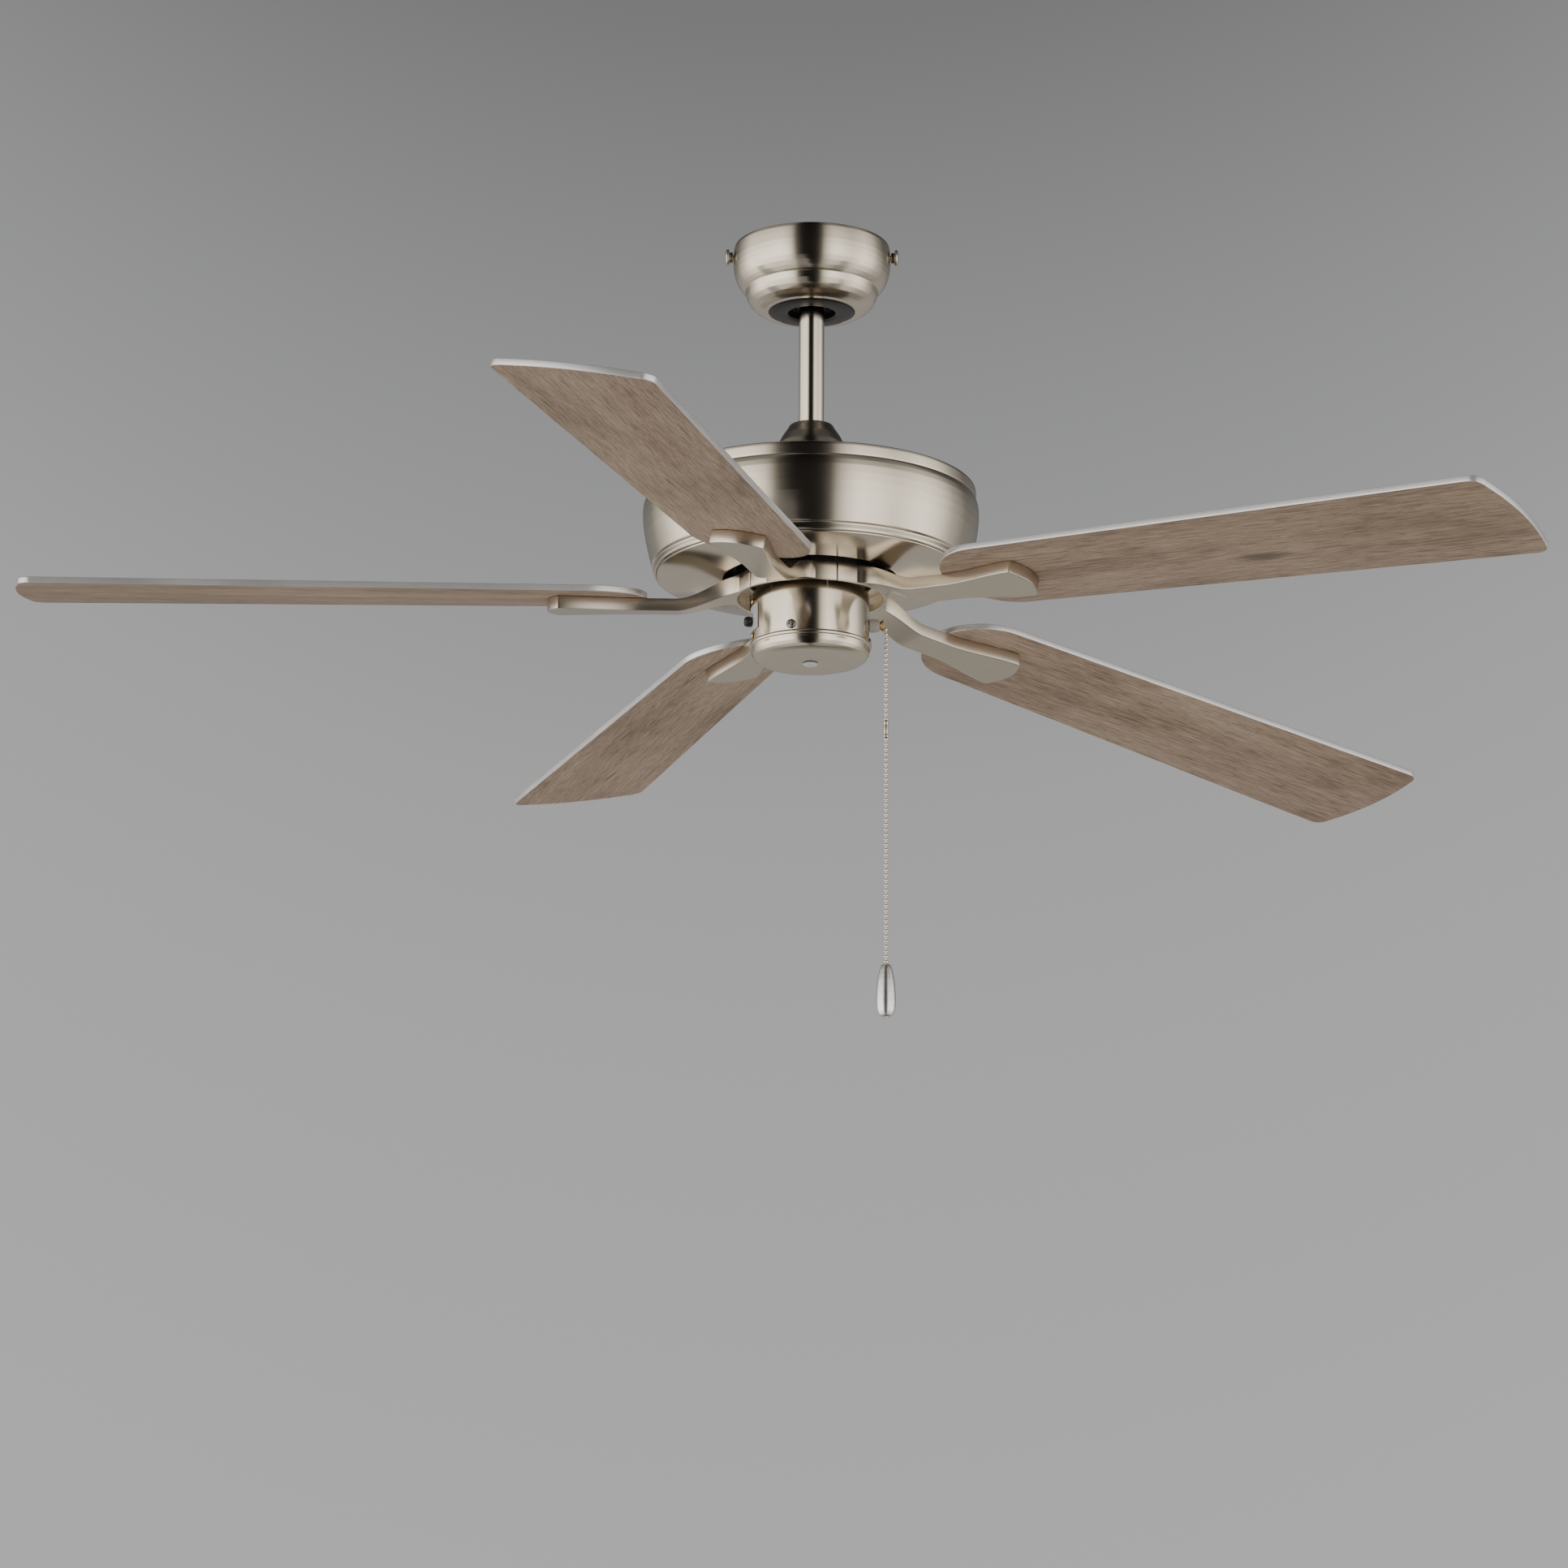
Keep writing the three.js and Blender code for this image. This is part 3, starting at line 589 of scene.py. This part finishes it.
# %% [markdown]
# The thumb screws are knurled so that they can be turned by hand: the barrel is a toothed
# wheel, made by pulling every second strip of its side faces outwards a little.

# %% Knurling
TEETH = 24


def face_mode():
    """Makes the next edit mode open on faces, so that a face picked in code stays picked."""
    bpy.context.tool_settings.mesh_select_mode = (False, False, True)


def knurl(piece, angle, height, near, far, depth):
    """Raises every second strip of a turned piece's side, between two distances out."""
    out = Vector((math.cos(angle), math.sin(angle), 0))
    side = Vector((-math.sin(angle), math.cos(angle), 0))
    only(piece)
    for face in piece.data.polygons:
        middle = face.center - Vector((0, 0, height * MM))
        along = middle.dot(out) / MM
        level = abs(face.normal.dot(out)) < 0.3
        turn = math.atan2(middle.z, middle.dot(side))
        strip = int((turn + math.pi) / math.tau * TEETH * 2)
        face.select = near < along < far and level and strip % 2 == 0
    face_mode()
    bpy.ops.object.mode_set(mode="EDIT")
    bpy.ops.mesh.extrude_faces_move(TRANSFORM_OT_shrink_fatten={"value": depth * MM})
    bpy.ops.object.mode_set(mode="OBJECT")
    smooth(piece)


print("teeth round a thumb screw:", TEETH)

# %% Thumb screws
THUMB_HEIGHT = -8.5
for label, angle in (("left", math.pi), ("right", 0.0)):
    screw = turned(f"thumb_screw_{label}", [
        [0, 58.5], [2.2, 58.5], [2.2, 67.1], [4.2, 67.1], [4.2, 70], [6.9, 70.5], [7.2, 71.2], [7, 72.3],
        [5.4, 73.2], [0, 73.5],
    ], corner=0.35, sides=TEETH * 2, facing=(angle, THUMB_HEIGHT))
    knurl(screw, angle, THUMB_HEIGHT, 67.4, 69.7, 0.45)
    finish_piece(screw, "ceiling_mount", NICKEL, "nickel", f"canopy_screw_{label}")

# %% [markdown]
# ## Downrod and coupling cover
#
# The rod is plain pipe, plated like the rest. The cover that hides its joint to the motor
# is a separate stamping, a shade darker: flat on top round the rod, then curving out to a
# straight skirt. Its wall is drawn outside and inside, as the canopy's is.

# %% Downrod and coupling cover
rod = turned("plated_downrod", [
    [10.65, -24], [10.65, -198], [8.6, -198], [8.6, -24],
], corner=0.5, sides=72)
finish_piece(rod, "drop", NICKEL, "nickel", "downrod")
cover = turned("coupling_dome", [
    [11.2, -158.8], [17.6, -158.8], [18.7, -159.5], [19.5, -161.2], [24.4, -168.6], [28.3, -176],
    [30.3, -184], [31, -192], [31, -202.8], [29.5, -202.8], [29.5, -192], [28.9, -184.4], [27, -176.8],
    [23, -169.6], [18.1, -162], [17.2, -160.5], [11.2, -160.5],
], corner=0.4, sides=96)
finish_piece(cover, "drop", DARK_NICKEL, "dark_nickel", "coupling_cover")

# %% [markdown]
# ## Motor housing
#
# Three stampings make the motor housing. The deep band has a rolled rim above and a double
# groove below, where the shallow bottom is pressed in. The top is a low dome with air slots,
# made by taking every eighth strip of faces out of the spun surface before it gets its wall.

# %% Housing band and bottom
band = turned("housing_side", [
    [134.9, -220], [135.4, -217.6], [137, -216.6], [138.3, -217.4], [138.6, -219.4], [138.5, -226.4],
    [138.2, -227.4], [139.4, -229], [140.4, -232], [140.9, -236.5], [140.8, -243], [140.2, -250],
    [138.9, -258.5], [136.9, -267.5], [134.9, -276], [133.7, -281.4], [133.3, -283.2], [131.5, -283.9],
    [131.3, -285.2], [131.6, -288.4], [131.1, -290.1], [129.2, -290.3], [129.4, -284], [132.6, -277],
    [137.2, -260], [139.1, -247], [139.2, -237], [136.6, -228.4], [136.2, -223],
], corner=0.5, sides=160)
finish_piece(band, "drop", NICKEL, "nickel", "housing_band")
bottom = turned("housing_dish", [
    [129, -290.2], [128.4, -291.6], [100, -293.6], [75.4, -295.0], [73.6, -294.6], [73.4, -293.4],
    [100, -292.2], [128.4, -289.6],
], corner=0.5, sides=160)
finish_piece(bottom, "drop", NICKEL, "nickel", "housing_bottom")

# %% Rounded edges
def edged(piece, width, segments=3, degrees=50):
    """Rounds the sharp edges of a piece."""
    only(piece)
    edge = piece.modifiers.new("edge", "BEVEL")
    edge.width = width * MM
    edge.segments = segments
    edge.limit_method = "ANGLE"
    edge.angle_limit = math.radians(degrees)
    bpy.ops.object.modifier_apply(modifier="edge")
    return smooth(piece, 40)


print("helper for rounded edges is ready")

# %% Slotted top
VENTS, VENT_STEPS = 14, 8
crown = outline("housing_crown", [
    [134.2, -223.6], [131, -221.6], [122, -218.6], [112, -216.3], [66, -207.0], [50, -204.4], [32, -203.3],
    [16.3, -203.2],
], corner=0)
spun(crown, VENTS * VENT_STEPS)
for face in crown.data.polygons:
    radius = math.hypot(face.center.x, face.center.y) / MM
    turn = math.atan2(face.center.y, face.center.x) % math.tau
    strip = int(turn / math.tau * VENTS * VENT_STEPS)
    face.select = 70 < radius < 110 and strip % VENT_STEPS == 3
face_mode()
bpy.ops.object.mode_set(mode="EDIT")
bpy.ops.mesh.delete(type="FACE")
bpy.ops.object.mode_set(mode="OBJECT")
wall = crown.modifiers.new("wall", "SOLIDIFY")
wall.thickness = 1.2 * MM
wall.offset = -1
bpy.ops.object.modifier_apply(modifier="wall")
smooth(edged(crown, 0.3, segments=2))
finish_piece(crown, "drop", NICKEL, "nickel", "housing_top")

# %% [markdown]
# ## Blade irons
#
# Each iron is one casting: a fifth of the hub ring, an arm that drops in an S and a paddle
# that lies flat under the blade. For the arm a flat grid is laid out and thickened, and then each
# vertex is led from the ring's arc to the pitched paddle, so arm and paddle are one smooth
# surface. The ring is two bent grids, and the three pieces are joined into one object.

# %% Where each blade sits
BLADES = 5
FIRST_BLADE = 38
HUB_LEVEL = -310.6
BLADE_SET = [(0.6, 6.5, 8.4, 5.9), (-0.4, 1.55, 10.5, 1.8), (-0.1, 0.2, 9.2, -1.9),
             (0.3, 1.6, 10.6, 0.1), (-0.3, 3.7, 11.0, 1.4)]


def turned_by(degrees, axis="Z"):
    return Matrix.Rotation(math.radians(degrees), 4, axis)


def seat_of(index):
    """From a blade's flat frame to its place beside its casting: turned, drooped and pitched."""
    turn, droop, pitch, lift = BLADE_SET[index]
    level = Matrix.Translation((0, 0, (HUB_LEVEL + lift) * MM))
    return turned_by(turn) @ level @ turned_by(droop, "Y") @ turned_by(-pitch, "X")


def turn_of(index):
    """From the first casting's frame to its place round the hub."""
    return turned_by(FIRST_BLADE + 360 / BLADES * index)


print("blades point to", [FIRST_BLADE + 360 // BLADES * index for index in range(BLADES)])

# %% Grid to be led into a shape
def eased(value, low, high):
    share = min(max((value - low) / (high - low), 0.0), 1.0)
    return share * share * (3 - 2 * share)


def thick_grid(columns, rows):
    """A flat grid from -1 to 1, thickened from 0 to 1."""
    deselect()
    bpy.ops.mesh.primitive_grid_add(x_subdivisions=columns, y_subdivisions=rows, size=2)
    piece = bpy.context.object
    bpy.ops.object.mode_set(mode="EDIT")
    bpy.ops.mesh.select_all(action="SELECT")
    bpy.ops.mesh.extrude_region_move(TRANSFORM_OT_translate={"value": (0, 0, 1)})
    bpy.ops.mesh.select_all(action="SELECT")
    bpy.ops.mesh.normals_make_consistent(inside=False)
    bpy.ops.object.mode_set(mode="OBJECT")
    return piece


print("helper for led grids is ready")

# %% Hub ring and arm
SEAM, RING_OUTER, RING_INNER = 0.3, 63.9, 61.3
HALF_ARC = math.pi / BLADES - SEAM / RING_OUTER
ROOT_HALF, NECK_HALF, PADDLE_HALF = 21.9, 13.4, 23.0
HUB_FOOT, ARM_HEIGHT = -311.4, 15.2
PADDLE_FOOT, PADDLE_THICK = -10.8, 10.5
PADDLE_START, PADDLE_END, PADDLE_CROWN = 112, 211, 8.5


def ring_part(inner, outer, foot, top, edge):
    """A fifth of a ring: a grid bent round the axis."""
    piece = thick_grid(2, 40)
    for vertex in piece.data.vertices:
        radius = inner + (outer - inner) * (vertex.co.x + 1) / 2
        angle = vertex.co.y * HALF_ARC
        height = foot + (top - foot) * vertex.co.z
        vertex.co = (radius * math.cos(angle) * MM, radius * math.sin(angle) * MM, height * MM)
    return edged(piece, edge)


def arm(index):
    """The arm and its paddle, level at the hub and led on to the pitch of the blade."""
    piece = thick_grid(64, 14)
    seat = seat_of(index)
    for vertex in piece.data.vertices:
        along, across, raised = (vertex.co.x + 1) / 2, vertex.co.y, vertex.co.z
        start = math.sqrt(62.6 ** 2 - (across * 22) ** 2)
        end = PADDLE_END + PADDLE_CROWN * (1 - across * across)
        out = start + (end - start) * along
        flare = (ROOT_HALF - NECK_HALF) * math.exp(-max(out - 60, 0) / 7)
        half = NECK_HALF + flare + (PADDLE_HALF - NECK_HALF) * eased(out, 140, 214)
        side = across * half - 1.4 * eased(out, 60, 90)
        level = Vector((out, side, HUB_FOOT + raised * ARM_HEIGHT)) * MM
        pitched = seat @ (Vector((out, side, PADDLE_FOOT + raised * PADDLE_THICK)) * MM)
        vertex.co = level.lerp(pitched, eased(out, 60, PADDLE_START))
    return edged(piece, 0.55)


for index in range(BLADES):
    skirt = ring_part(RING_INNER, RING_OUTER, -311.8, -295.8, 0.5)
    flange = ring_part(51.6, 62.4, -298.8, -295.9, 0.4)
    piece = joined([skirt, flange, arm(index)], f"cast_iron_{index + 1}")
    piece.matrix_world = turn_of(index)
    settle(piece)
    finish_piece(piece, "rotor", CAST_NICKEL, "nickel", f"blade_iron_{index + 1}")

# %% [markdown]
# ## Blades
#
# A blade is a board cut to an outline: half round at the root, straight tapering sides and a
# gently crowned tip. A circle with one vertex for each outline point is filled, moved into
# that outline, thickened and bevelled. Its lower face takes the oak, the rest the lacquer.

# %% Blade outline
ROOT, TIP, CROWN, CORNER = 136.5, 660.4, 9.2, 11.7
HALF_ROOT, HALF_TIP = 50.75, 64.0
BOARD = 5.5


def tip_at(v):
    """How far out the crowned tip is, at a distance from the blade's middle line."""
    return TIP - CROWN * (v / HALF_TIP) ** 2


def mirrored(points):
    return [(u, -v) for u, v in points[::-1]]


def blade_outline():
    """Points along and across a blade: round its root, down one side, over the tip and back."""
    flank = ROOT + HALF_ROOT
    rounded = [math.pi * step / 40 for step in range(40, -1, -1)]
    root = [(flank - HALF_ROOT * math.sin(a), -HALF_ROOT * math.cos(a)) for a in rounded]
    centre = HALF_TIP - CORNER
    inset = tip_at(centre) - CORNER
    quarter = [math.pi / 2 * step / 8 for step in range(9)]
    corner = [(inset + CORNER * math.cos(a), centre + CORNER * math.sin(a)) for a in quarter]
    run, spread = corner[-1][0] - flank, HALF_TIP - HALF_ROOT
    side = [(flank + run * step / 12, -(HALF_ROOT + spread * step / 12)) for step in range(1, 12)]
    crown_line = [(tip_at(centre * step / 12), centre * step / 12) for step in range(-11, 12)]
    return root + side + mirrored(corner) + crown_line + corner + mirrored(side)


print("blade outline of", len(blade_outline()), "points")

# %% Blade board
def board():
    points = blade_outline()
    deselect()
    bpy.ops.mesh.primitive_circle_add(vertices=len(points), radius=1, fill_type="NGON")
    piece = bpy.context.object
    for vertex, (u, v) in zip(piece.data.vertices, points):
        vertex.co = (u * MM, v * MM, 0)
    bpy.ops.object.mode_set(mode="EDIT")
    bpy.ops.mesh.select_all(action="SELECT")
    bpy.ops.mesh.extrude_region_move(TRANSFORM_OT_translate={"value": (0, 0, BOARD * MM)})
    bpy.ops.mesh.select_all(action="SELECT")
    bpy.ops.mesh.normals_make_consistent(inside=False)
    bpy.ops.object.mode_set(mode="OBJECT")
    edged(piece, 0.9)
    piece.data.materials.append(OAK)
    piece.data.materials.append(SILVER)
    for face in piece.data.polygons:
        face.material_index = 0 if face.normal.z < -0.9 else 1
    piece.data.uv_layers.new(name="grain")
    return smooth(piece)


template = board()
print("one blade has", len(template.data.polygons), "faces")

# %% Five blades
def twin_of(piece, name):
    """A copy with its own mesh."""
    twin = piece.copy()
    twin.data = piece.data.copy()
    twin.name = name
    bpy.context.scene.collection.objects.link(twin)
    return twin


def lay_grain(piece, shift):
    """Maps metres along and across the blade, moved so that no two blades show the same wood."""
    flat = piece.data.uv_layers["grain"].data
    for loop in piece.data.loops:
        co = piece.data.vertices[loop.vertex_index].co
        flat[loop.index].uv = (co.x + shift[0], co.y + shift[1])


GRAIN_SHIFTS = [(0.05, 0.02), (3.1, 1.7), (6.4, 0.9), (9.7, 2.6), (12.2, 4.3)]
for index, shift in enumerate(GRAIN_SHIFTS):
    piece = twin_of(template, f"oak_blade_{index + 1}")
    lay_grain(piece, shift)
    piece.matrix_world = turn_of(index) @ seat_of(index)
    settle(piece)
    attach(piece, "rotor")
    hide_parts(f"blade_{index + 1}")
bpy.data.objects.remove(template)
print("blades laid:", len(GRAIN_SHIFTS))

# %% [markdown]
# ## Screws
#
# Pan-head screws hold each blade from above, and others close the switch housing. A head is
# turned and its cross recess is cut with two crossed bars, so that it catches real shadow.

# %% Cross recess
def cross_cut(head, place, facing, bar_size):
    """Cuts a cross into a head at a place. Facing turns the two bars to the head's own axis."""
    for spin in (0.4, 0.4 + math.pi / 2):
        deselect()
        bpy.ops.mesh.primitive_cube_add(size=1, location=place)
        bar = bpy.context.object
        bar.scale = [length * MM for length in bar_size]
        bar.rotation_euler = (facing @ Matrix.Rotation(spin, 3, "Z")).to_euler()
        settle(bar)
        only(head)
        cutter = head.modifiers.new("recess", "BOOLEAN")
        cutter.operation = "DIFFERENCE"
        cutter.object = bar
        cutter.solver = "EXACT"
        bpy.ops.object.modifier_apply(modifier="recess")
        bpy.data.objects.remove(bar)
    return smooth(head)


print("helper for cross recesses is ready")

# %% Screws in the side of the switch housing
DRUM_SIDE = 49.1
SWITCH_ANGLE = math.radians(192.5)


def side_screw(name, angle, height, radius, rise):
    """A pan head on the drum's side. Radius and rise are the head's own."""
    head = turned(name, [
        [0, DRUM_SIDE], [radius, DRUM_SIDE], [radius, DRUM_SIDE + rise * 0.4],
        [radius * 0.8, DRUM_SIDE + rise * 0.8], [radius * 0.4, DRUM_SIDE + rise], [0, DRUM_SIDE + rise],
    ], corner=0.2, sides=32, facing=(angle, height))
    tip = (DRUM_SIDE + rise) * MM
    place = (tip * math.cos(angle), tip * math.sin(angle), height * MM)
    facing = Matrix.Rotation(angle, 3, "Z") @ Matrix.Rotation(math.pi / 2, 3, "Y")
    return cross_cut(head, place, facing, (radius * 0.24, radius * 1.2, rise * 0.9))


for index, degrees in enumerate((250.7, 10.7, 130.7)):
    screw = side_screw(f"housing_screw_{index + 1}", math.radians(degrees), -345.7, 4.0, 2.4)
    finish_piece(screw, "drop", DARK_STEEL, "steel", f"drum_screw_{index + 1}")
for label, height in (("upper", -316.1), ("lower", -345.6)):
    screw = side_screw(f"plate_screw_{label}", SWITCH_ANGLE, height, 2.5, 1.9)
    finish_piece(screw, "drop", BRASS, "brass", f"reverse_screw_{label}")

# %% Blade screws
HEAD_TOP = 9.0
source = turned("blade_screw", [
    [0, BOARD], [5.6, BOARD], [5.6, 6.3], [4.4, 6.4], [4.2, 7.6], [3.2, 8.6], [1.6, HEAD_TOP],
    [0, HEAD_TOP],
], corner=0.25, sides=28)
cross_cut(source, (0, 0, HEAD_TOP * MM), Matrix.Identity(3), (1.1, 4.6, 2.6))
for index in range(BLADES):
    trio = []
    for u, v in ((164, 0), (197, 13), (197, -15)):
        screw = twin_of(source, "screw")
        screw.matrix_world = turn_of(index) @ seat_of(index) @ Matrix.Translation((u * MM, v * MM, 0))
        trio.append(settle(screw))
    finish_piece(joined(trio, f"blade_screws_{index + 1}"), "rotor", STEEL, "steel")
bpy.data.objects.remove(source)

# %% [markdown]
# ## Switch housing and cap
#
# Under the blades hangs a short drum for the switches. Its cap has a rolled bead that fits
# over the drum and a shallow rounded face. A pale plug fills the hole where a lamp would go.

# %% Drum, cap and plug
drum = turned("switch_drum", [
    [48.9, -308], [48.9, -350.4], [47.7, -350.4], [47.7, -308],
], corner=0.3, sides=128)
finish_piece(drum, "drop", NICKEL, "nickel", "switch_housing")
cap = turned("drum_cap", [
    [48.8, -350.7], [50.4, -350.9], [51.2, -352.3], [50.8, -353.8], [49.7, -354.4], [49.5, -356.4],
    [48.9, -359.2], [47.2, -362], [44.6, -364.1], [41, -365.3], [32, -366.1], [18, -366.5],
    [5.2, -366.5], [5.2, -365.3], [18, -365.3], [32, -364.9], [40.6, -364.1], [43.9, -363],
    [46.2, -361.1], [47.5, -358.6], [47.8, -354], [47.8, -350.7],
], corner=0.35, sides=128)
finish_piece(cap, "drop", NICKEL, "nickel", "switch_cap")
plug = turned("bright_plug", [
    [0, -363], [4.9, -363], [4.9, -366.7], [6.1, -366.7], [6.2, -367.4], [5.3, -368.2], [3, -368.7],
    [0, -368.8],
], corner=0.25, sides=48)
finish_piece(plug, "drop", WHITE_PLASTIC, "pale_plastic", "cap_plug")

# %% [markdown]
# ## Chain outlet and reverse switch
#
# The chain leaves through a pale bushing with a brass bell mouth that keeps it from wearing.
# Across from it a small black knob slides in a plate: up for winter, down for summer.

# %% Bushing, mouth and knob
bushing = turned("chain_guide", [
    [2.6, 44.3], [4.2, 44.3], [4.2, 49.2], [5.5, 49.2], [5.8, 50], [5.6, 53], [5.2, 56], [4.6, 57.6],
    [2.6, 57.6],
], corner=0.3, sides=48, facing=(0.0, CHAIN_TOP))
finish_piece(bushing, "drop", PALE_PLASTIC, "pale_plastic", "chain_bushing")
mouth = turned("bell_mouth", [
    [2.3, 57.9], [3.6, 57.9], [3.8, 58.7], [4.3, 59.5], [5.1, 60.3], [5.1, 60.8], [4.4, 60.8], [3.2, 59.4],
    [2.5, 58.6],
], corner=0.15, sides=40, facing=(0.0, CHAIN_TOP))
finish_piece(mouth, "drop", BRASS, "brass", "chain_mouth")
knob = turned("slider_knob", [
    [0, 46.2], [1.8, 46.2], [1.8, 50.4], [4.2, 50.4], [4.3, 51.4], [4.3, 54.4], [3.4, 56.2], [0, 56.8],
], corner=0.4, sides=48, facing=(SWITCH_ANGLE, -334))
finish_piece(knob, "reverse_slider", BLACK_PLASTIC, "black_plastic", "reverse_knob")

# %% [markdown]
# ## Hanger ball
#
# The whole fan hangs on a nylon ball that rests in the bracket's seat, so it always finds
# plumb. It is a zone of a sphere with a hole for the rod, turned from a few points of its arc.

# %% Hanger ball
ball = turned("nylon_ball", [
    [10.95, -24], [14.28, -24], [17.0, -27.5], [19.0, -31.8], [19.9, -36], [19.9, -40], [19.0, -44.2],
    [17.2, -48.2], [14.6, -51.7], [10.95, -54.7],
], corner=0.8, sides=64)
finish_piece(ball, "drop", BLACK_PLASTIC, "black_plastic", "hanger_ball")

# %% [markdown]
# ## Finishes for the parts that stay as they are
#
# The bracket, pins, shaft, bearings and windings are hidden in use and already have the
# right shape, so they keep their plain meshes and only take a finish.

# %% Inner parts
KEPT = {
    "hanger_bracket": DARK_STEEL, "bracket_screw_1": STEEL, "bracket_screw_2": STEEL, "ball_pin": STEEL,
    "motor_yoke": ZINC, "yoke_pin": STEEL, "motor_shaft": STEEL, "stator_core": LAMINATED,
    "upper_windings": COPPER, "lower_windings": COPPER, "upper_bearing": STEEL, "lower_bearing": STEEL,
    "mounting_plate": ZINC, "run_capacitor": BLACK_PLASTIC, "speed_switch": BLACK_PLASTIC,
    "reverse_switch_body": BLACK_PLASTIC, "reverse_switch_plate": WHITE_PLASTIC, "rotor_top": STEEL,
    "rotor_ring": LAMINATED, "rotor_bottom": BLACK_ENAMEL,
}
for name, look in KEPT.items():
    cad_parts[name].data.materials.clear()
    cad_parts[name].data.materials.append(look)
print(len(KEPT), "plain nodes finished")

# %% [markdown]
# ## Room and lights
#
# Metal looks like what it reflects. So the room, which is the world, holds tall soft strips of
# light on both sides of the viewer and darkness between, and turned metal shows them as bright
# upright streaks. The viewer sees a grey backdrop instead, since the world's shader gives
# camera rays their own colour; it is painted darker towards the top and the middle, as painted
# shade of the wall near the ceiling. Two large soft lights fill in from below and above.

# %% Soft lights
AIM = Vector((0, 0, -0.3))


def soft_light(name, place, width, height, power):
    """A soft light that faces the fan and doesn't show in its metal."""
    data = bpy.data.lights.new(name, "AREA")
    data.shape = "RECTANGLE"
    data.size = width
    data.size_y = height
    data.energy = power
    light = bpy.data.objects.new(name, data)
    bpy.context.scene.collection.objects.link(light)
    light.location = place
    light.rotation_euler = (AIM - Vector(place)).to_track_quat("-Z", "Y").to_euler()
    light.visible_glossy = False


soft_light("low_fill", (0.5, -1.2, -2.3), 4.2, 2.4, 8)
soft_light("overhead", (-0.3, 0.5, 2.6), 3.2, 3.2, 90)
print("soft lights:", len(bpy.data.lights))

# %% Floor
deselect()
bpy.ops.mesh.primitive_plane_add(size=60, location=(0, 0, -2.4))
floor = settle(bpy.context.object)
floor.visible_glossy = False
floor.name = "floor"
floor_look, _, _ = material("pale_floor", roughness=0.9, Base_Color=(0.80, 0.795, 0.785, 1))
floor.data.materials.append(floor_look)
print("floor at", round(floor.data.vertices[0].co.z, 2))

# %% Directions in the room
world = bpy.data.worlds.new("room")
bpy.context.scene.world = world
world.use_nodes = True
tree = world.node_tree
direction = Socket(tree, tree.nodes.new("ShaderNodeTexCoord").outputs["Generated"])
parts = direction.node("ShaderNodeSeparateXYZ", Vector=direction)
across = direction.out(parts, "X")
toward = direction.out(parts, "Y") * -1.0
up = direction.out(parts, "Z")
height = up * 0.5 + 0.5
compass = across.math("ARCTAN2", toward) * (0.5 / math.pi) + 0.5
print("room directions ready")

# %% [markdown]
# Two ramps make the strips: one says how bright the room is at each compass angle, where 0
# is behind the viewer and plus is to the right, the other how that changes with height. The
# half of the room that the viewer faces is a dim wall, which only rims and far sides reflect.

# %% Strips and wall
WARM = (1.0, 0.965, 0.90)
STRIPS = (
    (-180, 0.0), (-140, 0.06), (-122, 0.45), (-102, 1.3), (-75, 1.4), (-45, 1.5), (-33, 1.1),
    (-24, 0.08), (-15, 0.004), (7, 0.004), (14, 0.05), (22, 0.75), (32, 1.3), (45, 1.15), (60, 0.9),
    (83, 1.25), (97, 0.95), (112, 0.33), (130, 0.05), (180, 0.0),
)
FADE = (
    (0.0, 0.3), (0.2, 0.8), (0.4, 1.4), (0.5, 1.35), (0.645, 1.0), (0.74, 0.45), (0.85, 0.2), (1.0, 0.1),
)


def tinted(level, tint):
    return tuple(level * part for part in tint)


strips = compass.ramp(*[(0.5 + degrees / 360, tinted(level, WARM)) for degrees, level in STRIPS])
fade = height.ramp(*[(place, (level, level, level)) for place, level in FADE])
wall = height.ramp(
    (0.0, (0.20, 0.195, 0.18)), (0.2, (0.36, 0.35, 0.325)), (0.32, (0.33, 0.32, 0.30)),
    (0.4, (0.30, 0.29, 0.27)), (0.5, (0.25, 0.245, 0.235)), (0.6, (0.15, 0.15, 0.145)),
    (0.7, (0.07, 0.07, 0.07)), (1.0, (0.05, 0.05, 0.05)),
)
faced = (toward * -1.0).step(0.0, 0.85)
room = strips.vector_math("MULTIPLY", fade).vector_math("ADD", faced.mixed((0.004, 0.004, 0.004), wall))
print("strips of light at", [degrees for degrees, level in STRIPS if level > 1])

# %% Backdrop and world
# Painted shade: the backdrop is darker towards the top and lighter to the sides, standing in for the shade
# on the wall near the ceiling and round the canopy.
painted_shade_backdrop = (up - across * across * 1.9).ramp(
    (0.10, (0.49, 0.49, 0.492)), (0.144, (0.468, 0.468, 0.468)), (0.20, (0.445, 0.445, 0.443)),
    (0.245, (0.412, 0.412, 0.41)), (0.285, (0.35, 0.351, 0.353)), (0.31, (0.315, 0.316, 0.32)),
    (0.345, (0.262, 0.262, 0.266)), (0.386, (0.196, 0.197, 0.196)), (0.45, (0.16, 0.16, 0.16)),
)
seen = tree.nodes["Background"]
tree.links.new(painted_shade_backdrop.socket, seen.inputs["Color"])
around = room.node("ShaderNodeBackground", Color=room, Strength=1.35)
choose = tree.nodes.new("ShaderNodeMixShader")
light_path = tree.nodes.new("ShaderNodeLightPath")
tree.links.new(light_path.outputs["Is Camera Ray"], choose.inputs["Fac"])
tree.links.new(around.outputs["Background"], choose.inputs[1])
tree.links.new(seen.outputs["Background"], choose.inputs[2])
tree.links.new(choose.outputs["Shader"], tree.nodes["World Output"].inputs["Surface"])
print("world ready, nodes:", len(tree.nodes))
